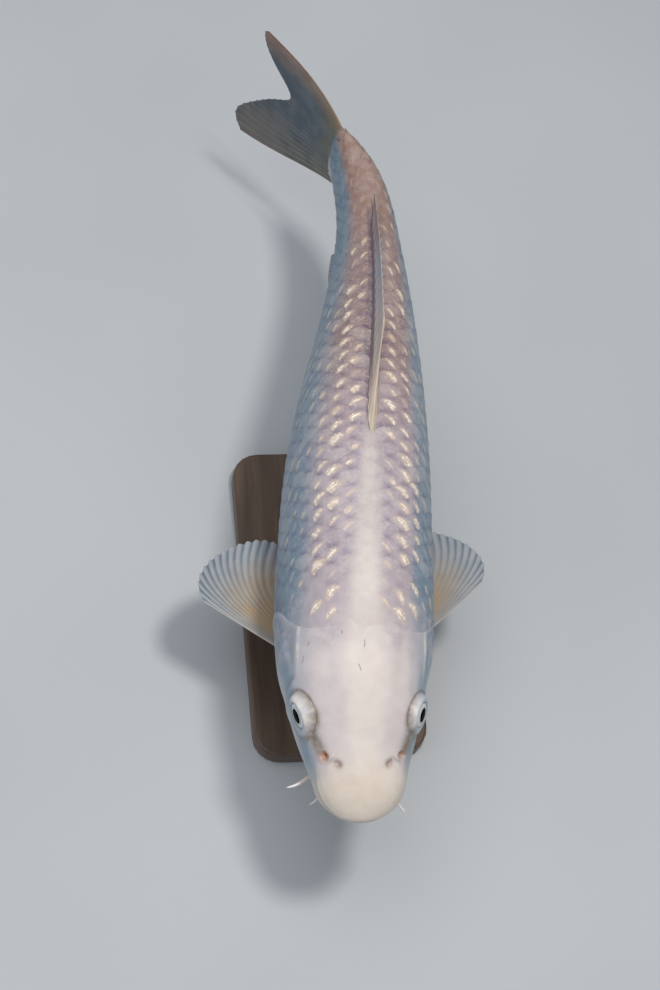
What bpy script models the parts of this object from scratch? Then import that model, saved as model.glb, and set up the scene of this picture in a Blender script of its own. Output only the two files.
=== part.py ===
"""Koi carp, life size, level and swimming, with its tail swung to one side, on a display stand.

Metres, +Z up. The snout points along -Y, and +X is the fish's left side. The origin is the centre
of the stand's underside. Every size of the fish is a share of its standard length, from the snout
to the end of the tail stalk, and its skin is one lofted surface that the nodes divide between them.
"""

import math

import bmesh
import bpy
import numpy as np

# Driving dimensions in metres
STANDARD_LENGTH = 0.42
AXIS_HEIGHT = 0.125
GAP = 0.0003
CUTTER_LIFT = 0.0004

# Stand, in metres
STAND_STATION = 0.43
BASE_LENGTH = 0.200
BASE_WIDTH = 0.104
BASE_THICKNESS = 0.012
BASE_CORNER = 0.016
BASE_CORNER_STEPS = 6
BASE_EDGE = 0.0015
ROD_RADIUS = 0.004
ROD_SIDES = 24
ROD_STATIONS = {"front": 0.36, "rear": 0.53}
ROD_REACH = 0.8
COLLAR_RADIUS = 0.009
COLLAR_HEIGHT = 0.005
COLLAR_CHAMFER = 0.001

# Spine: the heading at each station, in degrees, turning towards -X as it grows
SPINE_STATIONS = (0.0, 0.25, 0.5, 0.65, 0.8, 0.92, 1.0, 1.12, 1.30)
SPINE_HEADINGS = (0.5, -4.7, -7.5, -9.4, -6.0, 3.0, 22.0, 42.5, 28.0)
SPINE_STEPS = 520

# Body sections, as shares of the standard length: the half-width, and the heights above the axis
BODY_STATIONS = (0.0, 0.06, 0.11, 0.18, 0.26, 0.35, 0.5, 0.65, 0.8, 0.9, 1.0, 1.04)
HALF_WIDTHS = (
    0.0550, 0.0625, 0.0770, 0.0925, 0.1045, 0.1035,
    0.0970, 0.0790, 0.0545, 0.0405, 0.0225, 0.0055,
)
TOP_HEIGHTS = (
    0.016, 0.040, 0.065, 0.096, 0.122, 0.140,
    0.150, 0.128, 0.088, 0.068, 0.062, 0.064,
)
BOTTOM_HEIGHTS = (
    -0.047, -0.062, -0.082, -0.110, -0.132, -0.145,
    -0.150, -0.132, -0.090, -0.066, -0.060, -0.062,
)
SNOUT_HEIGHT = -0.018
SNOUT_ROUNDING = 0.050
WIDEST_SHARE = 0.3
TOP_ROUNDNESS = 2.25
BOTTOM_ROUNDNESS = 2.3

# Divisions of the body, as stations
MOUTH_END = 0.034
MOUTH_HEIGHT = -0.030
MOUTH_TILT = 17.0
LIP_BLOCK_STATIONS = (-0.02, 0.06)
LIP_BLOCK_HALF_WIDTH = 0.12
LIP_BLOCK_HEIGHT = 0.2
NAPE = 0.222
OPERCLE_BULGE = 0.062
OPERCLE_HEIGHT = -0.15
OPERCLE_SPREAD = 0.62
OPERCLE_SQUARENESS = 2.6
TRUNK_SPLIT = 0.52
STALK_START = 0.84
BODY_END = 1.04

# Gill covers: how far they run in front of the head's rear border, and their place round the section
GILL_FRONT = 0.172
GILL_FRONT_BOW = 0.012
GILL_DEPTH = 0.0045
GILL_TOP_STEP = 4
GILL_BOTTOM_STEP = -5
GILL_REACH = 0.003
GILL_UNDERCUT = 0.18
GILL_ROWS = 7
GILL_SECTION_RADIUS = 0.09

# Eyes
EYE_STATION = 0.138
EYE_OFFSET = 0.0610
EYE_HEIGHT = 0.0255
EYE_RADIUS = 0.0240
EYE_SIDES = 16
EYE_RINGS = 10

# Barbels: root and tip as (station, sideways, height), the rise at mid length, and the root radius
BARBELS = {
    "barbel_corner_right": ((0.086, -0.038, -0.060), (0.063, -0.090, -0.048), 0.003, 0.0017),
    "barbel_corner_left": ((0.088, 0.036, -0.062), (0.026, 0.064, -0.052), -0.002, 0.0017),
    "barbel_lip_right": ((0.066, -0.030, -0.050), (0.043, -0.060, -0.058), 0.004, 0.0012),
    "barbel_lip_left": ((0.058, 0.030, -0.054), (0.040, 0.046, -0.078), -0.003, 0.0012),
}
BARBEL_TIP_SHARE = 0.45
BARBEL_RINGS = 9
BARBEL_SIDES = 8

# Fins: rays and steps of each plate, and their thickness at the root and at the edge, in metres
FIN_GRIDS = {
    "fin_caudal": (21, 8),
    "fin_dorsal": (24, 4),
    "fin_anal": (9, 6),
    "fin_pectoral": (13, 8),
    "fin_pelvic": (9, 6),
}
FIN_ROOT_THICKNESSES = {
    "fin_caudal": 0.0030,
    "fin_dorsal": 0.0026,
    "fin_anal": 0.0024,
    "fin_pectoral": 0.0028,
    "fin_pelvic": 0.0024,
}
FIN_EDGE_THICKNESS = 0.0008
FIN_ROOT_INSET = 0.008

# Tail fin: where its rays end, as a station and a height, from the top ray to the bottom one
TAIL_SHARES = (0.0, 0.12, 0.3, 0.48, 0.62, 0.78, 0.92, 1.0)
TAIL_STATIONS = (1.200, 1.196, 1.166, 1.134, 1.160, 1.200, 1.229, 1.222)
TAIL_HEIGHTS = (0.122, 0.098, 0.058, 0.018, -0.012, -0.060, -0.118, -0.150)
TAIL_ROOT_TOP = 0.058
TAIL_ROOT_BOTTOM = -0.056
TAIL_ROOT_INSET = 0.012
TAIL_ROOT_SWEEP = 0.035
TAIL_EDGE_BULGE = 0.012

# Dorsal fin, half folded: ray lengths and angles to the back along its base, and its lean
DORSAL_START = 0.482
DORSAL_END = 0.872
DORSAL_SHARES = (0.0, 0.06, 0.16, 0.3, 0.6, 1.0)
DORSAL_LENGTHS = (0.160, 0.150, 0.110, 0.082, 0.062, 0.036)
DORSAL_ANGLES = (14.0, 15.0, 19.0, 22.0, 24.0, 24.0)
DORSAL_LEANS = (6.0, 7.0, 10.0, 9.0, 5.0, 4.0)
DORSAL_FOLD = 0.4

# Anal fin: base, ray lengths front and rear, their angles to the belly line, and the tip's bend
ANAL_START = 0.785
ANAL_END = 0.850
ANAL_LENGTHS = (0.136, 0.070)
ANAL_ANGLES = (31.0, 20.0)
ANAL_BEND = -0.034
ANAL_CORNER_TRIM = 0.16
ANAL_CORNER_POWER = 6

# Paired fins: each ray leaves the root at a sweep from sideways towards the tail, with a droop
PECTORAL = {
    "root_front": (0.262, 0.074, -0.088),
    "root_rear": (0.288, 0.062, -0.100),
    "shares": (0.0, 0.08, 0.3, 0.6, 0.85, 1.0),
    "lengths": (0.138, 0.156, 0.182, 0.186, 0.174, 0.150),
    "sweeps": (33.0, 36.0, 47.0, 63.0, 77.0, 85.0),
    "droop": 2.0,
    "curl": 0.006,
}
PELVIC = {
    "root_front": (0.500, 0.040, -0.132),
    "root_rear": (0.524, 0.024, -0.138),
    "shares": (0.0, 0.1, 0.35, 0.65, 0.9, 1.0),
    "lengths": (0.112, 0.125, 0.130, 0.116, 0.096, 0.086),
    "sweeps": (68.0, 70.0, 75.0, 82.0, 87.0, 89.0),
    "droop": 17.0,
    "curl": 0.004,
}
PECTORAL_SWEEPS = {"left": 14.0, "right": -3.0}
PECTORAL_SIZES = {"left": 1.035, "right": 0.873}
PECTORAL_FRONT_GROWTHS = {"left": 0.2, "right": 0.14}

# Mesh of the body: sides of its sections, and rings along each length
SIDES = 28
BODY_RINGS = {
    "lips": 7,
    "head": 16,
    "trunk_front": 12,
    "trunk_rear": 12,
    "tail_stalk": 9,
    "body_cutter": 46,
}

GOLDEN_CREAM = (0.80, 0.74, 0.64)
PEARL = (0.74, 0.72, 0.72)
FIN_CREAM = (0.78, 0.72, 0.62)


def clear_scene():
    for item in list(bpy.data.objects):
        bpy.data.objects.remove(item, do_unlink=True)


def material(name, colour, roughness, metallic=0.0):
    made = bpy.data.materials.new(name)
    made.use_nodes = True
    shader = made.node_tree.nodes["Principled BSDF"]
    shader.inputs["Base Color"].default_value = (*colour, 1.0)
    shader.inputs["Roughness"].default_value = roughness
    shader.inputs["Metallic"].default_value = metallic
    made.diffuse_color = (*colour, 1.0)
    return made


class Curve:
    """A natural cubic through a few named values."""

    def __init__(self, stations, values):
        self.x = np.array(stations, float)
        self.y = np.array(values, float)
        step = np.diff(self.x)
        slope = np.diff(self.y) / step
        count = len(self.x)
        system = np.eye(count)
        right = np.zeros(count)
        for i in range(1, count - 1):
            system[i, i - 1 : i + 2] = step[i - 1], 2 * (step[i - 1] + step[i]), step[i]
            right[i] = 6 * (slope[i] - slope[i - 1])
        self.bend = np.linalg.solve(system, right)

    def __call__(self, at):
        at = np.clip(np.asarray(at, float), self.x[0], self.x[-1])
        i = np.clip(np.searchsorted(self.x, at, side="right") - 1, 0, len(self.x) - 2)
        step = self.x[i + 1] - self.x[i]
        after = (at - self.x[i]) / step
        before = 1 - after
        line = before * self.y[i] + after * self.y[i + 1]
        curve = (before**3 - before) * self.bend[i] + (after**3 - after) * self.bend[i + 1]
        return line + curve * step**2 / 6


heading_curve = Curve(SPINE_STATIONS, np.radians(SPINE_HEADINGS))
half_width_curve = Curve(BODY_STATIONS, HALF_WIDTHS)
top_curve = Curve(BODY_STATIONS, TOP_HEIGHTS)
bottom_curve = Curve(BODY_STATIONS, BOTTOM_HEIGHTS)


def walk_spine():
    """Stations along the spine with the plan position of each, in shares of the length."""
    stations = np.linspace(SPINE_STATIONS[0], SPINE_STATIONS[-1], SPINE_STEPS)
    heading = heading_curve(stations)
    middle = (heading[1:] + heading[:-1]) / 2
    step = np.diff(stations)
    x = np.concatenate([[0.0], np.cumsum(-np.sin(middle) * step)])
    y = np.concatenate([[0.0], np.cumsum(np.cos(middle) * step)])
    return stations, x, y


spine_stations, spine_x, spine_y = walk_spine()
stand_x = float(np.interp(STAND_STATION, spine_stations, spine_x))
stand_y = float(np.interp(STAND_STATION, spine_stations, spine_y))


def place(station, offset, height):
    """World point at a station, a sideways offset and a height, all in shares of the length."""
    station, offset, height = np.broadcast_arrays(station, offset, height)
    heading = heading_curve(station)
    x = np.interp(station, spine_stations, spine_x) + offset * np.cos(heading) - stand_x
    y = np.interp(station, spine_stations, spine_y) + offset * np.sin(heading) - stand_y
    return np.stack(
        [x * STANDARD_LENGTH, y * STANDARD_LENGTH, height * STANDARD_LENGTH + AXIS_HEIGHT],
        axis=-1,
    )


def section(station):
    """Half-width, top, bottom and widest height of the body at a station."""
    rounding = np.sqrt(1 - (1 - np.clip(station / SNOUT_ROUNDING, 0, 1)) ** 2)
    width = half_width_curve(station) * rounding
    top = SNOUT_HEIGHT + (top_curve(station) - SNOUT_HEIGHT) * rounding
    bottom = SNOUT_HEIGHT + (bottom_curve(station) - SNOUT_HEIGHT) * rounding
    widest = SNOUT_HEIGHT * (1 - rounding) + WIDEST_SHARE * (top + bottom) * rounding
    return width, top, bottom, widest


def skin(station, angle, lift=0.0):
    """Skin point at a station and an angle round the section, raised by a lift in metres."""
    station, angle = np.broadcast_arrays(np.asarray(station, float), np.asarray(angle, float))
    width, top, bottom, widest = section(station)
    out = lift / STANDARD_LENGTH
    across, up = np.cos(angle), np.sin(angle)
    power = np.where(up > 0, 2 / TOP_ROUNDNESS, 2 / BOTTOM_ROUNDNESS)
    offset = np.sign(across) * np.abs(across) ** power * (width + out)
    reach = np.where(up > 0, top - widest, widest - bottom) + out
    height = widest + np.sign(up) * np.abs(up) ** power * reach
    return place(station, offset, height)


def gill_border(angle):
    """Station of the gill covers' rear edge, which parts the head from the trunk."""
    rise = np.sin(angle) - OPERCLE_HEIGHT
    return NAPE + OPERCLE_BULGE * np.exp(-np.abs(rise / OPERCLE_SPREAD) ** OPERCLE_SQUARENESS)


def add_object(name, points, faces, finish, smooth_angle=40.0):
    mesh = bpy.data.meshes.new(name)
    mesh.from_pydata([tuple(point) for point in points], [], faces)
    built = bmesh.new()
    built.from_mesh(mesh)
    bmesh.ops.remove_doubles(built, verts=built.verts, dist=1e-6)
    bmesh.ops.recalc_face_normals(built, faces=built.faces)
    built.to_mesh(mesh)
    built.free()
    mesh.shade_smooth()
    mesh.set_sharp_from_angle(angle=math.radians(smooth_angle))
    mesh.materials.append(finish)
    made = bpy.data.objects.new(name, mesh)
    bpy.context.collection.objects.link(made)
    return made


def hide_cutter(cutter):
    cutter.hide_render = True
    cutter.display_type = "WIRE"
    return cutter


def cut(target, cutter):
    modifier = target.modifiers.new("Cut", "BOOLEAN")
    modifier.operation = "DIFFERENCE"
    modifier.object = cutter


def grid_faces(rows, columns, closed):
    """Quads between the rows of a grid of points, whose columns may close round."""
    faces = []
    for row in range(rows - 1):
        for column in range(columns if closed else columns - 1):
            following = (column + 1) % columns
            low, high = row * columns, (row + 1) * columns
            faces.append((low + column, low + following, high + following, high + column))
    return faces


def section_angles():
    return np.arange(SIDES) * 2 * math.pi / SIDES


def body_length(name, start, end, finish, lift=0.0):
    """A length of the body between two borders, each a station for every angle, with fan caps."""
    rings = BODY_RINGS["lips" if name.startswith("lip") else name]
    angles = section_angles()
    first, last = start(angles), end(angles)
    share = np.linspace(0, 1, rings)
    stations = first + (last - first) * share[:, None]
    if np.max(first) <= 0:
        ease = 1 - np.cos(share * math.pi / 2)
        stations = last * ease[:, None]
    points = skin(stations, angles, lift).reshape(-1, 3)
    faces = grid_faces(rings, SIDES, closed=True)
    for ring, border in ((0, stations[0]), (rings - 1, stations[-1])):
        middle = float(np.mean(border))
        top_and_bottom = section(middle)[1:3]
        centre = place(middle, 0.0, sum(top_and_bottom) / 2)
        points = np.vstack([points, centre])
        for side in range(SIDES):
            low = ring * SIDES
            faces.append((low + side, low + (side + 1) % SIDES, len(points) - 1))
    return add_object(name, points, faces, finish)


def at_station(station):
    return lambda angles: np.full(len(angles), float(station))


def body_cutter():
    """The whole body, raised a little, to trim what grows from it."""
    end = BODY_END + CUTTER_LIFT / STANDARD_LENGTH
    made = body_length("body_cutter", at_station(0.0), at_station(end), None, CUTTER_LIFT)
    return hide_cutter(made)


def patch(name, steps, start, ends, lifts, finish):
    """A curved plate over part of the skin: an outer and an inner sheet, each with its rear end."""
    angles = np.array(steps) * 2 * math.pi / SIDES
    share = np.linspace(0, 1, GILL_ROWS)[:, None]
    sheets = []
    for end, lift in zip(ends, lifts):
        stations = start(angles) + (end(angles) - start(angles)) * share
        sheets.append(skin(stations, angles, lift).reshape(-1, 3))
    return add_object(name, np.vstack(sheets), slab_faces(GILL_ROWS, len(angles)), finish)


def slab_faces(rows, columns):
    """Faces of a closed slab made of two like sheets of points, the second below the first."""
    count = rows * columns
    top = grid_faces(rows, columns, closed=False)
    faces = top + [tuple(count + i for i in reversed(face)) for face in top]
    edge = [*range(columns)]
    edge += [row * columns + columns - 1 for row in range(1, rows)]
    edge += [count - 1 - i for i in range(1, columns)]
    edge += [row * columns for row in range(rows - 2, 0, -1)]
    for here, there in zip(edge, edge[1:] + edge[:1]):
        faces.append((there, here, count + here, count + there))
    return faces


def add_gill_covers(head, finish):
    angles_a_step = 2 * math.pi / SIDES

    def front(angles):
        rise = np.sin(angles) - OPERCLE_HEIGHT
        return GILL_FRONT + GILL_FRONT_BOW * rise**2

    def rear(angles):
        return gill_border(angles) - GAP / STANDARD_LENGTH

    def inner_rear(angles):
        return rear(angles) - GILL_UNDERCUT * (gill_border(angles) - NAPE)

    def wider_front(angles):
        return front(angles) - GAP / STANDARD_LENGTH

    def wider_rear(angles):
        return gill_border(angles) + GILL_REACH

    for side in ("left", "right"):
        steps = list(range(GILL_BOTTOM_STEP, GILL_TOP_STEP + 1))
        margin = GAP / (GILL_SECTION_RADIUS * STANDARD_LENGTH) / angles_a_step
        wide = [steps[0] - margin, *steps[1:-1], steps[-1] + margin]
        if side == "right":
            steps = [SIDES / 2 - step for step in steps]
            wide = [SIDES / 2 - step for step in wide]
        patch(f"gill_cover_{side}", steps, front, (rear, inner_rear), (0.0, -GILL_DEPTH), finish)
        cutter_name = f"gill_cutter_{side}"
        lifts = (GILL_DEPTH, -GILL_DEPTH - GAP)
        cutter = patch(cutter_name, wide, wider_front, (wider_rear, wider_rear), lifts, finish)
        cut(head, hide_cutter(cutter))


def ball(name, centre, radius, finish):
    """A faceted ball whose poles point sideways."""
    points = [centre + np.array([-radius, 0, 0])]
    for ring in range(1, EYE_RINGS):
        along = math.pi * ring / EYE_RINGS
        for side in range(EYE_SIDES):
            around = 2 * math.pi * side / EYE_SIDES
            reach = radius * math.sin(along)
            direction = (math.cos(around) * reach, math.sin(around) * reach)
            points.append(centre + np.array([-radius * math.cos(along), *direction]))
    points.append(centre + np.array([radius, 0, 0]))
    rings = grid_faces(EYE_RINGS - 1, EYE_SIDES, closed=True)
    faces = [tuple(1 + i for i in face) for face in rings]
    last = len(points) - 1
    for side in range(EYE_SIDES):
        following = (side + 1) % EYE_SIDES
        faces.append((0, 1 + side, 1 + following))
        faces.append((last, last - EYE_SIDES + side, last - EYE_SIDES + following))
    return add_object(name, points, faces, finish)


def add_eyes(head, finish):
    for side, sign in (("left", 1), ("right", -1)):
        centre = place(EYE_STATION, sign * EYE_OFFSET, EYE_HEIGHT)
        radius = EYE_RADIUS * STANDARD_LENGTH
        ball(f"eye_{side}", centre, radius, finish)
        cut(head, hide_cutter(ball(f"eye_cutter_{side}", centre, radius + GAP, finish)))


def tube(name, route, radii, sides, finish):
    """A tapered tube along a route of points, with closed ends."""
    route = np.array(route, float)
    tangents = np.gradient(route, axis=0)
    points = []
    for middle, tangent, radius in zip(route, tangents, radii):
        forward = tangent / np.linalg.norm(tangent)
        across = np.cross(forward, (0.0, 0.0, 1.0))
        across /= np.linalg.norm(across)
        up = np.cross(across, forward)
        for side in range(sides):
            turn = 2 * math.pi * side / sides
            points.append(middle + radius * (math.cos(turn) * across + math.sin(turn) * up))
    faces = grid_faces(len(route), sides, closed=True)
    faces.append(tuple(range(sides)))
    faces.append(tuple(range(len(points) - sides, len(points))))
    return add_object(name, points, faces, finish)


def add_barbels(trim, finish):
    for name, (root, tip, rise, radius) in BARBELS.items():
        share = np.linspace(0, 1, BARBEL_RINGS)
        bow = 4 * share * (1 - share) * rise
        line = [root[i] + (tip[i] - root[i]) * share for i in range(3)]
        route = place(line[0], line[1], line[2] + bow)
        radii = radius * (1 - (1 - BARBEL_TIP_SHARE) * share)
        made = tube(name, route, radii, BARBEL_SIDES, finish)
        cut(made, trim)


def fin(name, surface, finish, trim):
    """A thin plate: surface(across, along) gives a point, and it thins from root to edge."""
    kind = name.removesuffix("_left").removesuffix("_right")
    rays, steps = FIN_GRIDS[kind]
    root_thickness = FIN_ROOT_THICKNESSES[kind]
    across = np.linspace(0, 1, rays)
    along = np.linspace(0, 1, steps)
    grid = np.array([[surface(u, v) for v in along] for u in across])
    d_across = np.gradient(grid, axis=0)
    d_along = np.gradient(grid, axis=1)
    normal = np.cross(d_across, d_along)
    normal /= np.linalg.norm(normal, axis=2, keepdims=True)
    half = (root_thickness + (FIN_EDGE_THICKNESS - root_thickness) * along) / 2
    lift = normal * half[None, :, None]
    sheets = [(grid + lift).reshape(-1, 3), (grid - lift).reshape(-1, 3)]
    made = add_object(name, np.vstack(sheets), slab_faces(rays, steps), finish, 50.0)
    cut(made, trim)
    return made


tail_station_curve = Curve(TAIL_SHARES, TAIL_STATIONS)
tail_height_curve = Curve(TAIL_SHARES, TAIL_HEIGHTS)


def tail_surface(across, along):
    end = float(tail_station_curve(across))
    tip = float(tail_height_curve(across))
    root = TAIL_ROOT_TOP + (TAIL_ROOT_BOTTOM - TAIL_ROOT_TOP) * across
    start = BODY_END - TAIL_ROOT_INSET - TAIL_ROOT_SWEEP * max(2 * across - 1, 0.0) ** 2
    station = start + (end - start) * along
    bulge = TAIL_EDGE_BULGE * (1 - 2 * across) * math.sin(math.pi * along)
    return place(station, 0.0, root + (tip - root) * along + bulge)


dorsal_length_curve = Curve(DORSAL_SHARES, DORSAL_LENGTHS)
dorsal_angle_curve = Curve(DORSAL_SHARES, np.radians(DORSAL_ANGLES))
dorsal_lean_curve = Curve(DORSAL_SHARES, np.radians(DORSAL_LEANS))


def dorsal_surface(across, along):
    root = DORSAL_START + (DORSAL_END - DORSAL_START) * across
    length = float(dorsal_length_curve(across))
    angle = float(dorsal_angle_curve(across))
    lean = float(dorsal_lean_curve(across))
    station = root + length * along * math.cos(angle)
    opening = DORSAL_FOLD + (1 - DORSAL_FOLD) * along
    rise = length * along * math.sin(angle) * math.sin(math.pi / 2 * opening)
    back = float(section(station)[1])
    height = back - FIN_ROOT_INSET + (rise + FIN_ROOT_INSET) * math.cos(lean)
    return place(station, rise * math.sin(lean), height)


def anal_surface(across, along):
    root = ANAL_START + (ANAL_END - ANAL_START) * across
    length = ANAL_LENGTHS[0] + (ANAL_LENGTHS[1] - ANAL_LENGTHS[0]) * across
    length *= 1 - ANAL_CORNER_TRIM * (1 - across) ** ANAL_CORNER_POWER
    angle = math.radians(ANAL_ANGLES[0] + (ANAL_ANGLES[1] - ANAL_ANGLES[0]) * across)
    station = root + length * along * math.cos(angle)
    belly = float(section(root)[2])
    height = belly + FIN_ROOT_INSET - (length * math.sin(angle) + FIN_ROOT_INSET) * along
    return place(station, ANAL_BEND * along**2, height)


def paired_surface(plan, sign, more_sweep, size, front_growth):
    """A paired fin on one side: its rays longer by size, and the front ones by their growth too."""
    lengths = Curve(plan["shares"], [length * size for length in plan["lengths"]])
    sweeps = Curve(plan["shares"], plan["sweeps"])
    droop = math.radians(plan["droop"])

    def surface(across, along):
        root = [
            front + (rear - front) * across
            for front, rear in zip(plan["root_front"], plan["root_rear"])
        ]
        length = float(lengths(across)) * (1 + front_growth * (1 - across) ** 2)
        sweep = math.radians(float(sweeps(across)) + more_sweep * (1 - 0.5 * across))
        out = math.cos(sweep) * math.cos(droop)
        offset = root[1] + length * along * out
        station = root[0] + length * along * math.sin(sweep)
        fall = length * along * math.sin(droop) - plan["curl"] * along**2
        return place(station, sign * offset, root[2] - fall)

    return surface


def add_fins(trim, finish):
    fin("fin_caudal", tail_surface, finish, trim)
    fin("fin_dorsal", dorsal_surface, finish, trim)
    fin("fin_anal", anal_surface, finish, trim)
    for side, sign in (("left", 1), ("right", -1)):
        pectoral = paired_surface(
            PECTORAL,
            sign,
            PECTORAL_SWEEPS[side],
            PECTORAL_SIZES[side],
            PECTORAL_FRONT_GROWTHS[side],
        )
        fin(f"fin_pectoral_{side}", pectoral, finish, trim)
        fin(f"fin_pelvic_{side}", paired_surface(PELVIC, sign, 0.0, 1.0, 0.0), finish, trim)


def add_base(finish):
    """A flat plate with round corners and a softened edge, its underside at the floor."""
    points = []
    for corner in range(4):
        turn = math.pi / 2 * corner
        x = (BASE_WIDTH / 2 - BASE_CORNER) * (1 if corner in (0, 3) else -1)
        y = (BASE_LENGTH / 2 - BASE_CORNER) * (1 if corner in (0, 1) else -1)
        for step in range(BASE_CORNER_STEPS):
            angle = turn + math.pi / 2 * step / (BASE_CORNER_STEPS - 1)
            points.append((x + BASE_CORNER * math.cos(angle), y + BASE_CORNER * math.sin(angle), 0))
    count = len(points)
    points += [(x, y, BASE_THICKNESS) for x, y, _ in points]
    faces = [tuple(range(count)), tuple(range(count, 2 * count))]
    faces += [(i, (i + 1) % count, count + (i + 1) % count, count + i) for i in range(count)]
    made = add_object("stand_base", points, faces, finish, 30.0)
    bevel = made.modifiers.new("Edge", "BEVEL")
    bevel.width = BASE_EDGE
    bevel.segments = 2
    bevel.limit_method = "ANGLE"
    bevel.angle_limit = math.radians(50)
    return made


def turned(name, centre, profile, finish):
    """A turned piece about a vertical line, from a profile of (radius, height) pairs."""
    points = []
    for radius, height in profile:
        for side in range(ROD_SIDES):
            turn = 2 * math.pi * side / ROD_SIDES
            x = centre[0] + radius * math.cos(turn)
            points.append((x, centre[1] + radius * math.sin(turn), height))
    faces = grid_faces(len(profile), ROD_SIDES, closed=True)
    faces.append(tuple(range(ROD_SIDES)))
    faces.append(tuple(range(len(points) - ROD_SIDES, len(points))))
    return add_object(name, points, faces, finish, 30.0)


def add_stand(trim):
    wood = material("stand_wood", (0.10, 0.060, 0.038), 0.45)
    steel = material("stand_steel", (0.55, 0.55, 0.56), 0.3, 1.0)
    add_base(wood)
    foot = BASE_THICKNESS + GAP
    for where, station in ROD_STATIONS.items():
        centre = place(station, 0.0, 0.0)
        inside = AXIS_HEIGHT + float(section(station)[2]) * STANDARD_LENGTH * ROD_REACH
        collar_top = foot + COLLAR_HEIGHT
        profile = [
            (COLLAR_RADIUS, foot),
            (COLLAR_RADIUS, collar_top - COLLAR_CHAMFER),
            (COLLAR_RADIUS - COLLAR_CHAMFER, collar_top),
            (ROD_RADIUS, collar_top),
            (ROD_RADIUS, inside),
        ]
        cut(turned(f"stand_rod_{where}", centre, profile, steel), trim)


def add_lips(finish):
    """The snout's tip, parted along the mouth line into two lips by wide flat blocks."""
    tilt = math.radians(MOUTH_TILT)
    front, rear = LIP_BLOCK_STATIONS
    for name, sign in (("lip_upper", -1), ("lip_lower", 1)):
        made = body_length(name, at_station(0.0), at_station(MOUTH_END), finish)
        points = []
        for across in (-1, 1):
            for station, reach in ((front, 0), (rear, 0), (rear, 1), (front, 1)):
                line = MOUTH_HEIGHT - sign * GAP / STANDARD_LENGTH / 2 - math.tan(tilt) * station
                height = line + sign * LIP_BLOCK_HEIGHT * reach
                points.append(place(station, LIP_BLOCK_HALF_WIDTH * across, height))
        faces = [(0, 1, 2, 3), (4, 5, 6, 7)]
        faces += [(i, (i + 1) % 4, 4 + (i + 1) % 4, 4 + i) for i in range(4)]
        cut(made, hide_cutter(add_object(f"{name}_cutter", points, faces, finish)))


def add_body():
    skin_finish = material("koi_skin", GOLDEN_CREAM, 0.35)
    scale_finish = material("koi_scales", PEARL, 0.3, 0.2)
    fin_finish = material("koi_fins", FIN_CREAM, 0.4)
    eye_finish = material("koi_eyes", (0.85, 0.84, 0.80), 0.1)
    step = GAP / STANDARD_LENGTH
    trim = body_cutter()
    add_lips(skin_finish)
    head = body_length("head", at_station(MOUTH_END + step), gill_border, skin_finish)

    def behind_gills(angles):
        return gill_border(angles) + step

    rear_front = at_station(TRUNK_SPLIT + step)
    stalk_front = at_station(STALK_START + step)
    body_length("trunk_front", behind_gills, at_station(TRUNK_SPLIT), scale_finish)
    body_length("trunk_rear", rear_front, at_station(STALK_START), scale_finish)
    body_length("tail_stalk", stalk_front, at_station(BODY_END), scale_finish)
    add_gill_covers(head, skin_finish)
    add_eyes(head, eye_finish)
    add_barbels(trim, skin_finish)
    add_fins(trim, fin_finish)
    return trim


clear_scene()
body_trim = add_body()
add_stand(body_trim)
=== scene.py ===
"""Looks of a life-size koi carp on a display stand: skin, scales, fins, eyes, barbels and stand.

Metres, +Z up, snout along -Y. Body places are shares of the standard length: a station along the
spine, an offset to the fish's left (+X) and a height above the body's axis.
"""

import math

import bpy
import numpy as np
from mathutils import Matrix


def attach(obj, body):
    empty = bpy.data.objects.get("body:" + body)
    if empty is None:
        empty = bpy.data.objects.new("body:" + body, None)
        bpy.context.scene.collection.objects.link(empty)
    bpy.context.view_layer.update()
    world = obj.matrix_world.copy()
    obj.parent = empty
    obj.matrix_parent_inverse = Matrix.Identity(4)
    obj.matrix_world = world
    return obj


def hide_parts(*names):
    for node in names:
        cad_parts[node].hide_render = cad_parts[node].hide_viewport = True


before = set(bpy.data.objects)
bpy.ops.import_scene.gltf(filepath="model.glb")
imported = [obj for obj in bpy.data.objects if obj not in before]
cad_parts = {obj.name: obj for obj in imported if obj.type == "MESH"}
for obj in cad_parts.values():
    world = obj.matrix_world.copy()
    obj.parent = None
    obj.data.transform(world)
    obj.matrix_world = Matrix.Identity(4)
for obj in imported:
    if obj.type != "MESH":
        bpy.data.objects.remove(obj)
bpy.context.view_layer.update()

# Body plan, the same as the solids': the first two in metres, headings in degrees, the rest in
# shares of the standard length or as powers
STANDARD_LENGTH = 0.42
AXIS_HEIGHT = 0.125
STAND_STATION = 0.43
SPINE_STATIONS = (0.0, 0.25, 0.5, 0.65, 0.8, 0.92, 1.0, 1.12, 1.30)
SPINE_HEADINGS = (0.5, -4.7, -7.5, -9.4, -6.0, 3.0, 22.0, 42.5, 28.0)
BODY_STATIONS = (0.0, 0.06, 0.11, 0.18, 0.26, 0.35, 0.5, 0.65, 0.8, 0.9, 1.0, 1.04)
HALF_WIDTHS = (
    0.0550, 0.0625, 0.0770, 0.0925, 0.1045, 0.1035,
    0.0970, 0.0790, 0.0545, 0.0405, 0.0225, 0.0055,
)
TOP_HEIGHTS = (
    0.016, 0.040, 0.065, 0.096, 0.122, 0.140,
    0.150, 0.128, 0.088, 0.068, 0.062, 0.064,
)
BOTTOM_HEIGHTS = (
    -0.047, -0.062, -0.082, -0.110, -0.132, -0.145,
    -0.150, -0.132, -0.090, -0.066, -0.060, -0.062,
)
SNOUT_HEIGHT = -0.018
SNOUT_ROUNDING = 0.050
WIDEST_SHARE = 0.3
TOP_ROUNDNESS = 2.25
BOTTOM_ROUNDNESS = 2.3
NAPE = 0.222
OPERCLE_BULGE = 0.062
OPERCLE_HEIGHT = -0.15
OPERCLE_SPREAD = 0.62
OPERCLE_SQUARENESS = 2.6
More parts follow.
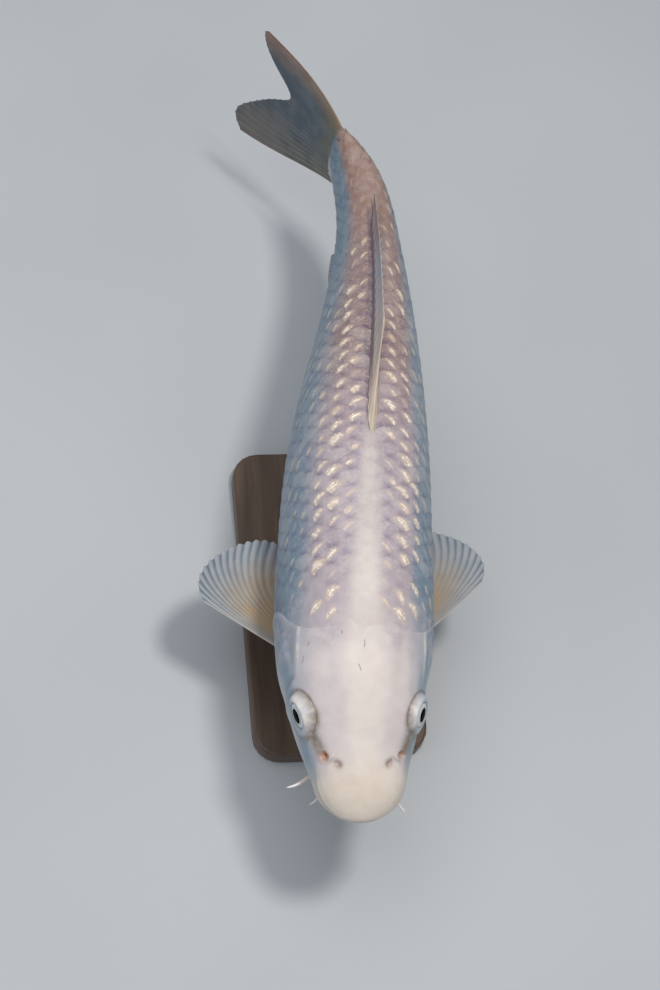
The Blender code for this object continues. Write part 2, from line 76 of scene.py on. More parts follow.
MEAN_GILL_BORDER = 0.25
BODY_END = 1.04
SPINE_STEPS = 520

# The fish's two sides, with the sign of an offset to each
SIDES = {"left": 1, "right": -1}

# Skin mesh: the skin lies this deep under the solids' surface, where the scales lie over it
COAT_DEPTH = 0.0009 / STANDARD_LENGTH
HEAD_ROWS = 200
HEAD_COLUMNS = 352
GILL_ROWS = 10
TRUNK_ROWS = 104
SKULL_END = 0.30
# Of these, pale is a painted highlight on raised crests, gill a painted shade in the gill and mouth
# slits, and furrow also holds a painted shadow round each eye's opening
SKIN_MASKS = ("pale", "furrow", "rust", "brown", "gill")

# Scales: stations, spacings and pitch in shares of the length, a scale's length in spacings and its
# width in pitches; rise, thickness, edge and dome in metres, tilt as a share and turn in degrees
SPACING_STATIONS = (0.2, 0.28, 0.38, 0.56, 0.68, 0.80, 0.88, 1.04)
SCALE_SPACINGS = (0.0245, 0.0242, 0.0226, 0.0228, 0.0245, 0.0268, 0.0262, 0.0205)
SCALE_ROW_PITCH = 0.0245
SCALE_ROW_TAPER = 0.75
SCALE_LENGTH = 2.05
SCALE_WIDTH = 2.2
SCALE_GRID = 12
SCALE_RISE = 0.00095
SCALE_THICKNESS = 0.00022
SCALE_EDGE = 0.00006
SCALE_DOME = 0.00022
FIRST_SCALES = 0.236
LAST_SCALES = 1.020
SCALE_TILT = 0.05
SCALE_TURN = 3
DORSAL_FOOT = 0.0055
# Scales nearer to the back than this share of the half girth are the back's, parted at a station
BACK_SHARE = 0.36
BACK_PARTING = 0.46

# Eyes: centre as station, offset and height; heights and radii are about the eye's own axis, which
# is turned up and forward by degrees
EYE_CENTRE = (0.1390, 0.0627, 0.0255)
EYE_UP = {"left": 20.0, "right": 3.0}
EYE_FORWARD = 23.0
EYE_OPENING = 0.0168
EYE_APEX = 0.0230
EYE_CURVATURE = 0.050
PUPIL_RADIUS = 0.0102
EYE_BACK = 0.0256
EYE_SPOKES = 96
GROOVE_RADIUS_UP = 0.0252
GROOVE_RADIUS_ALONG = 0.0298
GROOVE_RADIUS_DOWN = 0.0290

# Camera: turn, elevation and roll in degrees, distance and target in shares, lens in millimetres
CAMERA_TURN = -20.08
CAMERA_ELEVATION = 62.34
CAMERA_ROLL = 16.77
CAMERA_DISTANCE = 3.54
CAMERA_TARGET = (-0.003, 0.464)
CAMERA_LENS = 94.85
CAMERA_SENSOR = 36.0

SEED = 7


class Curve:
    """A natural cubic through a few named values."""

    def __init__(self, stations, values):
        self.x = np.array(stations, float)
        self.y = np.array(values, float)
        step = np.diff(self.x)
        slope = np.diff(self.y) / step
        count = len(self.x)
        system = np.eye(count)
        right = np.zeros(count)
        for i in range(1, count - 1):
            system[i, i - 1 : i + 2] = step[i - 1], 2 * (step[i - 1] + step[i]), step[i]
            right[i] = 6 * (slope[i] - slope[i - 1])
        self.bend = np.linalg.solve(system, right)

    def __call__(self, at):
        at = np.clip(np.asarray(at, float), self.x[0], self.x[-1])
        i = np.clip(np.searchsorted(self.x, at, side="right") - 1, 0, len(self.x) - 2)
        step = self.x[i + 1] - self.x[i]
        after = (at - self.x[i]) / step
        before = 1 - after
        line = before * self.y[i] + after * self.y[i + 1]
        curve = (before**3 - before) * self.bend[i] + (after**3 - after) * self.bend[i + 1]
        return line + curve * step**2 / 6


heading_curve = Curve(SPINE_STATIONS, np.radians(SPINE_HEADINGS))
half_width_curve = Curve(BODY_STATIONS, HALF_WIDTHS)
top_curve = Curve(BODY_STATIONS, TOP_HEIGHTS)
bottom_curve = Curve(BODY_STATIONS, BOTTOM_HEIGHTS)
spacing_curve = Curve(SPACING_STATIONS, SCALE_SPACINGS)


def walk_spine():
    """Stations along the spine with the plan position of each, in shares of the length."""
    stations = np.linspace(SPINE_STATIONS[0], SPINE_STATIONS[-1], SPINE_STEPS)
    heading = heading_curve(stations)
    middle = (heading[1:] + heading[:-1]) / 2
    step = np.diff(stations)
    x = np.concatenate([[0.0], np.cumsum(-np.sin(middle) * step)])
    y = np.concatenate([[0.0], np.cumsum(np.cos(middle) * step)])
    return stations, x, y


spine_stations, spine_x, spine_y = walk_spine()
stand_x = float(np.interp(STAND_STATION, spine_stations, spine_x))
stand_y = float(np.interp(STAND_STATION, spine_stations, spine_y))


def bend(points):
    """World points of straight body points (offset, station, height), bent along the spine."""
    offset, station, height = points[..., 0], points[..., 1], points[..., 2]
    heading = heading_curve(station)
    before = np.minimum(station, 0.0)
    x = np.interp(station, spine_stations, spine_x) + offset * np.cos(heading) - stand_x
    y = np.interp(station, spine_stations, spine_y) + offset * np.sin(heading) - stand_y + before
    return np.stack(
        [x * STANDARD_LENGTH, y * STANDARD_LENGTH, height * STANDARD_LENGTH + AXIS_HEIGHT],
        axis=-1,
    )


def place(station, offset, height):
    """World points of body places given part by part."""
    return bend(np.stack(np.broadcast_arrays(offset, station, height), axis=-1))


def section(station):
    """Half-width, top, bottom and widest height of the body at a station."""
    rounding = np.sqrt(1 - (1 - np.clip(station / SNOUT_ROUNDING, 0, 1)) ** 2)
    width = half_width_curve(station) * rounding
    top = SNOUT_HEIGHT + (top_curve(station) - SNOUT_HEIGHT) * rounding
    bottom = SNOUT_HEIGHT + (bottom_curve(station) - SNOUT_HEIGHT) * rounding
    widest = SNOUT_HEIGHT * (1 - rounding) + WIDEST_SHARE * (top + bottom) * rounding
    return width, top, bottom, widest


def loft(station, angle):
    """Straight body point at a station and an angle round the section, 0 left and pi/2 up."""
    station, angle = np.broadcast_arrays(np.asarray(station, float), np.asarray(angle, float))
    width, top, bottom, widest = section(station)
    across, up = np.cos(angle), np.sin(angle)
    power = np.where(up > 0, 2 / TOP_ROUNDNESS, 2 / BOTTOM_ROUNDNESS)
    offset = np.sign(across) * np.abs(across) ** power * width
    reach = np.where(up > 0, top - widest, widest - bottom)
    height = widest + np.sign(up) * np.abs(up) ** power * reach
    return np.stack([offset, station, height], axis=-1)


def unit(vectors):
    return vectors / np.maximum(np.linalg.norm(vectors, axis=-1, keepdims=True), 1e-12)


def smooth(low, high, value):
    share = np.clip((value - low) / (high - low), 0, 1)
    return share * share * (3 - 2 * share)


def hump(value, middle, width):
    """A smooth hump of height 1 about a middle value."""
    return np.exp(-(((value - middle) / width) ** 2))


def mixed(one, other, share):
    return one + (other - one) * share


def gill_border(angle):
    """Station of the gill cover's free edge at an angle round the head."""
    rise = np.sin(angle) - OPERCLE_HEIGHT
    return NAPE + OPERCLE_BULGE * np.exp(-np.abs(rise / OPERCLE_SPREAD) ** OPERCLE_SQUARENESS)


# ---- Way round the section by length, for rows of scales and for markings ----

GIRTH_STATIONS = np.linspace(0.002, BODY_END, 260)
GIRTH_SHARES = np.linspace(0, 1, 161)


def girth_table():
    """Half girth at each station, and the angle from the back at each share of that half girth."""
    turn = np.linspace(0, math.pi, 721)
    ring = loft(GIRTH_STATIONS[:, None], math.pi / 2 - turn[None, :])
    step = np.linalg.norm(np.diff(ring, axis=1), axis=2)
    length = np.concatenate([np.zeros((len(ring), 1)), np.cumsum(step, axis=1)], axis=1)
    turns = [np.interp(GIRTH_SHARES, row / row[-1], turn) for row in length]
    shares = [np.interp(turn, turn, row / row[-1]) for row in length]
    return length[:, -1], np.array(turns), np.array(shares)


half_girths, girth_turns, turn_shares = girth_table()


def half_girth(station):
    return np.interp(station, GIRTH_STATIONS, half_girths)


def table_value(table, station, column):
    """Bilinear value of a table with a row for each girth station, at a fractional column."""
    span = GIRTH_STATIONS[1] - GIRTH_STATIONS[0]
    row = np.clip((station - GIRTH_STATIONS[0]) / span, 0, len(GIRTH_STATIONS) - 1.001)
    column = np.clip(column, 0, table.shape[1] - 1.001)
    i, j = row.astype(int), column.astype(int)
    a, b = row - i, column - j
    low = table[i, j] * (1 - b) + table[i, j + 1] * b
    high = table[i + 1, j] * (1 - b) + table[i + 1, j + 1] * b
    return low * (1 - a) + high * a


def angle_at(station, way):
    """Angle round the section at a signed way from the back, + to the fish's left."""
    share = np.abs(way) / half_girth(station)
    turn = table_value(girth_turns, station, share * (len(GIRTH_SHARES) - 1))
    return math.pi / 2 - np.sign(way) * turn


def girth_share(station, angle):
    """Share of the half girth from the back, 0 to 1, at an angle."""
    turn = np.abs((math.pi / 2 - angle + math.pi) % (2 * math.pi) - math.pi)
    return table_value(turn_shares, station, turn / math.pi * (turn_shares.shape[1] - 1))


# ---- Mesh helpers ----


def new_object(name, points, faces, finish, sharp=None):
    mesh = bpy.data.meshes.new(name)
    mesh.from_pydata(points.tolist(), [], faces)
    mesh.update()
    mesh.shade_smooth()
    if sharp is not None:
        mesh.set_sharp_from_angle(angle=math.radians(sharp))
    mesh.materials.append(finish)
    made = bpy.data.objects.new(name, mesh)
    bpy.context.scene.collection.objects.link(made)
    return made


def set_values(made, name, values):
    """A named value for each point, which the finish reads."""
    attribute = made.data.attributes.new(name, "FLOAT", "POINT")
    attribute.data.foreach_set("value", np.ascontiguousarray(values, np.float32).ravel())


def set_bake_map(made, corner_places):
    """The map OFBake from a place for each face corner."""
    layer = made.data.uv_layers.new(name="OFBake")
    layer.data.foreach_set("uv", np.ascontiguousarray(corner_places, np.float32).ravel())


def corner_points(made):
    index = np.empty(len(made.data.loops), np.int32)
    made.data.loops.foreach_get("vertex_index", index)
    return index


def quads(rows, columns, closed, first=0):
    """Faces between the rows of a grid of points, whose columns may close round."""
    row = np.arange(rows - 1)[:, None] * columns
    column = np.arange(columns if closed else columns - 1)[None, :]
    following = (column + 1) % columns
    low, high = row + first, row + columns + first
    corners = (low + column, low + following, high + following, high + column)
    return np.stack(np.broadcast_arrays(*corners), axis=-1).reshape(-1, 4)


def ride(made):
    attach(made, "root")
    return made


# ---- Node helpers ----

FLOAT, COLOUR = "NodeSocketFloat", "NodeSocketColor"
NOISE_ROUGHNESS = 0.55


class Nodes:
    """A small hand for building node trees."""

    def __init__(self, tree):
        self.tree = tree

    def add(self, kind, inputs=None, **settings):
        made = self.tree.nodes.new(kind)
        for name, value in settings.items():
            setattr(made, name, value)
        self.feed_all(made.inputs, inputs or {})
        return made

    def feed(self, socket, value):
        if isinstance(value, bpy.types.NodeSocket):
            self.tree.links.new(value, socket)
        else:
            socket.default_value = value

    def feed_all(self, sockets, values):
        for name, value in values.items():
            self.feed(sockets[name], value)

    def value(self, name):
        return self.add("ShaderNodeAttribute", attribute_name=name).outputs["Fac"]

    def math(self, operation, *values):
        made = self.add("ShaderNodeMath", operation=operation)
        for socket, value in zip(made.inputs, values):
            self.feed(socket, value)
        return made.outputs[0]

    def times(self, product, *others):
        for other in others:
            product = self.math("MULTIPLY", product, other)
        return product

    def plus(self, one, other):
        return self.math("ADD", one, other)

    def minus(self, one, other):
        return self.math("SUBTRACT", one, other)

    def scaled(self, value, by, more):
        return self.math("MULTIPLY_ADD", value, by, more)

    def within(self, value, low, high, from_value=0.0, to_value=1.0):
        """A smooth step between two values, over a range of the value."""
        inputs = {"Value": value, "From Min": low, "From Max": high}
        inputs.update({"To Min": from_value, "To Max": to_value})
        made = self.add("ShaderNodeMapRange", inputs, interpolation_type="SMOOTHSTEP")
        return made.outputs["Result"]

    def fades(self, value, low, high):
        return self.within(value, low, high, 1.0, 0.0)

    def mix(self, share, one, other):
        made = self.add("ShaderNodeMix", data_type="RGBA")
        self.feed(made.inputs[0], share)
        self.feed(made.inputs[6], self.colour(one))
        self.feed(made.inputs[7], self.colour(other))
        return made.outputs[2]

    def patched(self, colour, patches):
        """A colour with others mixed over it in turn, each as (share, colour)."""
        for share, other in patches:
            colour = self.mix(share, colour, other)
        return colour

    @staticmethod
    def colour(value):
        return (*value, 1.0) if isinstance(value, tuple) and len(value) == 3 else value

    def ramp(self, share, stops, easing="EASE"):
        made = self.add("ShaderNodeValToRGB", {"Fac": share})
        made.color_ramp.interpolation = easing
        elements = made.color_ramp.elements
        while len(elements) < len(stops):
            elements.new(0.5)
        for element, (at, colour) in zip(elements, stops):
            element.position = at
            element.color = self.colour(colour)
        return made.outputs["Color"]

    def noise(self, scale, detail=3.0, stretch=(1, 1, 1), place=None):
        if place is None:
            place = self.add("ShaderNodeTexCoord").outputs["Object"]
        mapping = self.add("ShaderNodeMapping", {"Vector": place, "Scale": stretch})
        inputs = {"Vector": mapping.outputs[0], "Scale": scale, "Detail": detail}
        inputs["Roughness"] = NOISE_ROUGHNESS
        return self.add("ShaderNodeTexNoise", inputs).outputs["Fac"]

    def bump(self, height, strength, distance):
        inputs = {"Height": height, "Strength": strength, "Distance": distance}
        return self.add("ShaderNodeBump", inputs).outputs["Normal"]

    def group(self, group, inputs):
        made = self.add("ShaderNodeGroup", node_tree=group)
        self.feed_all(made.inputs, inputs)
        return made.outputs


def new_group(name, inputs, outputs):
    """A shader group with named sockets; returns it with its hand, input sockets and output node."""
    tree = bpy.data.node_groups.new(name, "ShaderNodeTree")
    for direction, sockets in (("INPUT", inputs), ("OUTPUT", outputs)):
        for socket_name, kind in sockets.items():
            tree.interface.new_socket(socket_name, in_out=direction, socket_type=kind)
    hand = Nodes(tree)
    source = hand.add("NodeGroupInput").outputs
    drain = hand.add("NodeGroupOutput").inputs
    return tree, hand, source, drain


def new_finish(name, **constants):
    """A material with its Principled shader's constants set; returns it, its hand and its shader."""
    made = bpy.data.materials.new(name)
    made.use_nodes = True
    shader = made.node_tree.nodes["Principled BSDF"]
    for socket_name, value in constants.items():
        spoken = socket_name.replace("_", " ").title().replace("Ior", "IOR")
        shader.inputs[spoken].default_value = value
    return made, Nodes(made.node_tree), shader


# ---- Colours of the fish ----

HEAD_CREAM = (0.755, 0.655, 0.600)
HEAD_ROSE = (0.665, 0.580, 0.565)
SNOUT_CREAM = (0.810, 0.680, 0.530)
HEAD_LILAC = (0.55, 0.50, 0.54)
# Painted blue reflected light and shade on the sides of the head
HEAD_REFLECTED_BLUE = (0.20, 0.30, 0.385)
CHEEK_SILVER = (0.56, 0.57, 0.58)
BELLY_CREAM = (0.72, 0.68, 0.63)
STRIPE_CREAM = (0.650, 0.570, 0.530)
STRIPE_REAR = (0.535, 0.465, 0.440)
NAPE_LILAC = (0.455, 0.405, 0.450)
BACK_LILAC = (0.375, 0.305, 0.350)
BACK_ROSE = (0.235, 0.140, 0.126)
STALK_TAN = (0.275, 0.155, 0.112)
# Painted blue reflected light and shade on the flanks
FLANK_REFLECTED_BLUE = (0.098, 0.205, 0.295)
LOW_SILVER = (0.46, 0.48, 0.50)
# The glints: a painted highlight, a bright core in a tan halo, over the scales' reflective patches
GLINT_GOLD = (1.0, 0.94, 0.80)
GLINT_TAN = (0.70, 0.52, 0.38)
# Painted sparkle on the scales' fine threads
SPARKLE_PINK = (0.86, 0.74, 0.66)
SCALE_ROSE = (0.70, 0.62, 0.64)
SCALE_WARM = (0.80, 0.72, 0.66)
# The scales' net, partly their own colour and partly painted shade between them
NET_AND_SHADE_VIOLET = (0.17, 0.14, 0.21)
# Painted highlight on the skin's raised crests, mottled cream and grey
HIGHLIGHT_CREAM = (0.84, 0.80, 0.70)
HIGHLIGHT_GREY = (0.60, 0.60, 0.67)
CLOUD_DARK = (0.35, 0.33, 0.37)
CLOUD_PALE = (0.90, 0.87, 0.85)
# Painted shadow of the folded dorsal fin, on the back beside its foot and on the fin's root
FIN_SHADOW_DARK = (0.115, 0.070, 0.085)
FURROW_OLIVE = (0.200, 0.145, 0.080)
NOSTRIL_RUST = (0.48, 0.21, 0.11)
# Painted shade in the hind nostril's hollow
NOSTRIL_HOLLOW_SHADE = (0.16, 0.05, 0.03)
NOSTRIL_BROWN = (0.25, 0.155, 0.155)
# Painted shade in the slit under the gill cover and between the lips
SLIT_SHADE_DARK = (0.16, 0.10, 0.10)
BARBEL_TIP = (0.82, 0.80, 0.78)
PUPIL_BLACK = (0.003, 0.002, 0.003)
IRIS_RIM = (0.92, 0.90, 0.84)
IRIS_LINE = (0.20, 0.20, 0.22)
IRIS_SILVER = (0.76, 0.79, 0.82)
IRIS_SHADE = (0.50, 0.51, 0.53)
IRIS_BLUE = (0.44, 0.53, 0.60)
# Painted shadow where the eye meets the fold's edge
IRIS_EDGE_SHADOW = (0.34, 0.32, 0.29)

# Colours from the back (0) round to the belly (1); the blues on the sides are painted blue reflected
# light and shade
HEAD_STOPS = (
    (0.0, HEAD_CREAM), (0.05, HEAD_CREAM), (0.14, HEAD_ROSE), (0.23, HEAD_ROSE),
    (0.31, HEAD_LILAC), (0.42, HEAD_REFLECTED_BLUE), (0.62, CHEEK_SILVER), (0.85, BELLY_CREAM),
)
TRUNK_STOPS = (
    (0.0, BACK_LILAC), (0.16, BACK_LILAC), (0.29, FLANK_REFLECTED_BLUE), (0.50, FLANK_REFLECTED_BLUE),
    (0.72, LOW_SILVER), (0.90, BELLY_CREAM),
)
REAR_STOPS = (
    (0.0, BACK_ROSE), (0.12, BACK_ROSE), (0.29, FLANK_REFLECTED_BLUE), (0.55, FLANK_REFLECTED_BLUE),
    (0.78, LOW_SILVER), (0.95, BELLY_CREAM),
)

# ---- Shader groups, most shared by several finishes ----

# The back stripe's middle lies this far to the fish's right
STRIPE_SHIFT = 0.002


def ground_colour(hand, station, girth):
    """Colours of the head, trunk and tail stalk, melted into each other along the body."""
    snout = hand.within(station, 0.03, 0.09, 0.75, 0.0)
    head = hand.mix(snout, hand.ramp(girth, HEAD_STOPS), SNOUT_CREAM)
    tan = hand.times(hand.within(station, 0.76, 0.92), hand.fades(girth, 0.12, 0.26))
    rear = hand.mix(tan, hand.ramp(girth, REAR_STOPS), STALK_TAN)
    trunk = hand.mix(hand.within(station, 0.40, 0.66), hand.ramp(girth, TRUNK_STOPS), rear)
    return hand.mix(hand.within(station, 0.175, 0.300), head, trunk)


def nape_mask(hand, station, way):
    """Lilac patches where the first scales begin, on both sides of the stripe."""
    return hand.times(
        hand.within(station, 0.186, 0.222),
        hand.within(way, 0.020, 0.036),
        hand.fades(station, 0.245, 0.290),
        hand.within(hand.noise(190, 3), 0.40, 0.58),
    )


def stripe_mask(hand, station, way):
    """The pale stripe down the back, which narrows with a ragged edge up to the dorsal fin."""
    half = hand.within(station, 0.24, 0.50, 0.0210, 0.0080)
    ragged = hand.scaled(hand.noise(90, 2), 0.60, 0.70)
    share = hand.math("DIVIDE", way, hand.times(half, ragged))
    return hand.times(
        hand.fades(share, 0.35, 1.75),
        hand.within(station, 0.18, 0.27),
        hand.fades(station, 0.44, 0.56),
    )


def fin_shadow_mask(hand, station, way):
    """The painted shadow line that the folded dorsal fin casts along its foot, on the fish's right."""
    edge = hand.times(
        hand.within(station, 0.52, 0.64, -0.0060, -0.0125),
        hand.within(station, 0.66, 0.80, 1.0, 0.60),
    )
    from_edge = hand.minus(way, edge)
    return hand.times(
        hand.within(from_edge, -0.0050, -0.0020),
        hand.fades(from_edge, 0.0030, 0.0060),
        hand.within(station, 0.485, 0.52),
        hand.within(station, 0.86, 0.90, 0.80, 0.0),
    )


def markings_group():
    """The fish's ground colours by place, with painted blue reflected light and shade on its sides, the
    nape's patches, the stripe and the painted shadow by the dorsal fin's foot.
    """
    tree, hand, source, drain = new_group(
        "body_markings",
        {"Station": FLOAT, "Girth": FLOAT, "Round": FLOAT},
        {"Colour": COLOUR, "Stripe": FLOAT},
    )
    station, way = source["Station"], source["Round"]
    drift = hand.scaled(hand.noise(26, 3), 0.10, -0.05)
    # The painted blue reflected light and shade start higher on the fish's left side
    shaded = hand.within(way, 0.03, 0.09, 0.0, 0.075)
    girth = hand.plus(hand.plus(source["Girth"], drift), shaded)
    from_stripe = hand.math("ABSOLUTE", hand.plus(way, STRIPE_SHIFT))
    nape = hand.times(nape_mask(hand, station, from_stripe), 0.60)
    colour = hand.mix(nape, ground_colour(hand, station, girth), NAPE_LILAC)
    stripe = stripe_mask(hand, station, from_stripe)
    cream = hand.mix(hand.within(station, 0.26, 0.36), STRIPE_CREAM, STRIPE_REAR)
    colour = hand.mix(stripe, colour, cream)
    # A painted shadow of the folded dorsal fin along its foot
    colour = hand.mix(fin_shadow_mask(hand, station, way), colour, FIN_SHADOW_DARK)
    hand.feed_all(drain, {"Colour": colour, "Stripe": stripe})
    return tree


def scratch_group():
    """One short old scratch: a thin bowed mark at a place on the skin, turned from the body's line."""
    sockets = ("Station", "Round", "At Station", "At Round", "Turn", "Half Length")
    tree, hand, source, drain = new_group(
        "old_scratch", {name: FLOAT for name in sockets}, {"Mark": FLOAT}
    )
    down = hand.minus(source["Station"], source["At Station"])
    over = hand.minus(source["Round"], source["At Round"])
    cosine, sine = hand.math("COSINE", source["Turn"]), hand.math("SINE", source["Turn"])
    along = hand.plus(hand.times(down, cosine), hand.times(over, sine))
    across = hand.minus(hand.times(over, cosine), hand.times(down, sine))
    off = hand.math("ABSOLUTE", hand.plus(across, hand.times(along, along, 18.0)))
    length = hand.math("DIVIDE", hand.math("ABSOLUTE", along), source["Half Length"])
    mark = hand.times(hand.fades(off, 0.0003, 0.0011), hand.fades(length, 0.55, 1.0))
    hand.feed(drain["Mark"], mark)
    return tree


# A scale's chance times these gives the draws that place and shape its glint
GLINT_DRAWS = (7.31, 23.17, 57.93, 131.7)


def glint_group():
    """The glint on a scale, a painted highlight over its reflective patch: a ragged slanted oval of
    fine hooked strokes.
    """
    tree, hand, source, drain = new_group(
        "scale_glint",
        {"Along": FLOAT, "Across": FLOAT, "Chance": FLOAT, "Strength": FLOAT},
        {"Patch": FLOAT, "Core": FLOAT, "Threads": FLOAT},
    )
    chance, strength = source["Chance"], source["Strength"]
    draws = [
        hand.minus(hand.math("FRACT", hand.times(chance, by)), 0.5) for by in GLINT_DRAWS
    ]
    # The oval's own axes: lean runs across its strokes and reach along them
    behind = hand.minus(source["Along"], hand.scaled(draws[0], 0.16, 0.50))
    beside = hand.plus(source["Across"], hand.times(draws[1], 0.22))
    steep = hand.scaled(draws[2], 0.30, 0.78)
    lean = hand.plus(hand.times(beside, steep), hand.times(behind, 0.90))
    reach = hand.minus(hand.times(beside, 0.90), hand.times(behind, steep))
    lean = hand.plus(lean, hand.times(reach, reach, 0.42))
    width = hand.scaled(draws[3], 0.11, hand.scaled(strength, 0.16, 0.085))
    length = hand.scaled(draws[0], 0.16, hand.scaled(strength, 0.32, 0.25))
    wide = hand.math("DIVIDE", hand.minus(lean, 0.10), width)
    long = hand.math("DIVIDE", hand.minus(reach, 0.05), length)
    ragged = hand.scaled(hand.noise(520, 3), 5.2, -2.6)
    far = hand.plus(hand.plus(hand.times(wide, wide), hand.times(long, long)), ragged)
    # Strokes inside it, closer or wider from one scale to the next
    wobble = hand.scaled(hand.noise(330, 2), 7.0, hand.times(chance, 30.0))
    wave = hand.scaled(lean, hand.scaled(draws[1], 26.0, 33.0), wobble)
    strokes = hand.within(hand.math("SINE", wave), -0.9, 0.4, 0.15, 1.0)
    core = hand.times(hand.fades(far, -0.5, 1.20), strokes, hand.within(strength, 0.05, 0.60))
    patch = hand.times(hand.fades(far, 0.30, 2.30), hand.within(strength, 0.02, 0.30))
    # Fine threads of painted sparkle across the scale
    threads = hand.within(hand.math("SINE", hand.times(lean, 75.0)), 0.35, 0.95)
    threads = hand.times(threads, hand.within(hand.noise(520, 3), 0.52, 0.66))
    hand.feed_all(drain, {"Patch": patch, "Core": core, "Threads": threads})
    return tree


def mottle_group():
    """Soft uneven colour over flesh and fins: a paler and a darker cloud over a ground colour."""
    tree, hand, source, drain = new_group(
        "soft_mottle",
        {"Colour": COLOUR, "Amount": FLOAT, "Size": FLOAT},
        {"Colour": COLOUR, "Cloud": FLOAT},
    )
    place = hand.add("ShaderNodeTexCoord").outputs["Object"]
    inputs = {"Vector": place, "Scale": source["Size"], "Detail": 4.0}
    cloud = hand.within(hand.add("ShaderNodeTexNoise", inputs).outputs["Fac"], 0.36, 0.64)
    dark = hand.mix(hand.times(source["Amount"], 0.7), source["Colour"], CLOUD_DARK)
    pale = hand.mix(source["Amount"], source["Colour"], CLOUD_PALE)
    hand.feed_all(drain, {"Colour": hand.mix(cloud, dark, pale), "Cloud": cloud})
    return tree


def web_group():
    """The look of a fin: rays over a web, softly clouded, with the rays and a grain as a relief."""
    tree, hand, source, drain = new_group(
        "fin_web",
        {"Ray": FLOAT, "Ray Colour": COLOUR, "Web Colour": COLOUR, "Low": FLOAT, "High": FLOAT},
        {"Colour": COLOUR, "Relief": FLOAT},
    )
    share = hand.within(source["Ray"], source["Low"], source["High"])
    colour = hand.mix(share, source["Web Colour"], source["Ray Colour"])
    soft = hand.group(mottle, {"Colour": colour, "Amount": 0.07, "Size": 90.0})
    relief = hand.scaled(share, 0.5, hand.noise(700, 2))
    hand.feed_all(drain, {"Colour": soft["Colour"], "Relief": relief})
    return tree


markings = markings_group()
mottle = mottle_group()
scratch = scratch_group()
scale_glint = glint_group()
fin_web = web_group()

# ---- Finishes of the skin and scales ----

# A wet sheen under a thin clear coat, on skin and scales alike
WET_SHEEN = {"specular_ior_level": 0.26, "coat_weight": 0.04, "coat_roughness": 0.25}

# Old scratches on the head: station, way round from the back (left is positive), turn, half length
SCRATCHES = (
    (0.2010, -0.0020, 0.05, 0.0060),
    (0.1725, -0.0075, -0.45, 0.0058),
    (0.1925, -0.0890, 0.30, 0.0050),
    (0.2080, -0.0800, 0.65, 0.0034),
    (0.2150, -0.0320, -0.20, 0.0030),
)


def scratch_marks(hand, station, way):
    marks = None
    for at_station, at_round, turn, half in SCRATCHES:
        inputs = {"Station": station, "Round": way, "At Station": at_station, "At Round": at_round}
        inputs.update({"Turn": turn, "Half Length": half})
        mark = hand.group(scratch, inputs)["Mark"]
        marks = mark if marks is None else hand.math("MAXIMUM", marks, mark)
    return marks


def skin_finish():
    made, hand, shader = new_finish("koi_skin", **WET_SHEEN)
    station, way, rust = hand.value("station"), hand.value("round"), hand.value("rust")
    ground = hand.group(markings, {"Station": station, "Girth": hand.value("girth"), "Round": way})
    clouded = hand.group(mottle, {"Colour": ground["Colour"], "Amount": 0.12, "Size": 34.0})
    fine = hand.group(mottle, {"Colour": clouded["Colour"], "Amount": 0.07, "Size": 150.0})
    # Painted highlight on the raised crests, mottled cream and grey
    pale_highlight = hand.mix(hand.within(hand.noise(150, 2), 0.40, 0.60), HIGHLIGHT_CREAM, HIGHLIGHT_GREY)
    patchy = hand.within(hand.noise(260, 3), 0.30, 0.62, 0.45, 1.0)
    marks = scratch_marks(hand, station, way)
    colour = hand.patched(fine["Colour"], (
        (hand.value("pale"), pale_highlight),
        (hand.times(hand.value("furrow"), patchy), FURROW_OLIVE),
        (hand.times(hand.value("brown"), patchy), NOSTRIL_BROWN),
        (rust, NOSTRIL_RUST),
        # Painted shade deep in the hind nostril
        (hand.within(rust, 0.78, 1.0, 0.0, 0.55), NOSTRIL_HOLLOW_SHADE),
        # Painted shade in the gill and mouth slits
        (hand.value("gill"), SLIT_SHADE_DARK),
        (hand.times(marks, 0.62), FURROW_OLIVE),
    ))
    relief = hand.scaled(hand.noise(2600, 1), 0.4, hand.minus(hand.noise(900, 3), marks))
    hand.feed_all(shader.inputs, {
        "Base Color": colour,
        "Roughness": hand.scaled(clouded["Cloud"], 0.08, 0.40),
        "Normal": hand.bump(relief, 0.12, 0.0006),
    })
    return made


def net_and_shade_mask(hand, along, across):
    """Where the dark net lies, partly the scales' own colour and partly painted shade: on the rim, the
    shaded root and, fainter, the tip of each scale.
    """
    rim = hand.within(hand.math("ABSOLUTE", across), 0.45, 0.95)
    root = hand.fades(along, 0.02, 0.42)
    tip = hand.times(hand.within(along, 0.80, 1.0), 0.6)
    return hand.math("MAXIMUM", rim, hand.math("MAXIMUM", root, tip))


def net_and_shade_strength(hand, station, stripe):
    """How clearly the net and its painted shade show: least on the stripe, the nape and the tail stalk.
    """
    return hand.times(
        hand.scaled(stripe, -0.85, 1.0),
        hand.within(station, 0.235, 0.33, 0.10, 1.0),
        hand.within(station, 0.66, 0.90, 1.0, 0.40),
    )


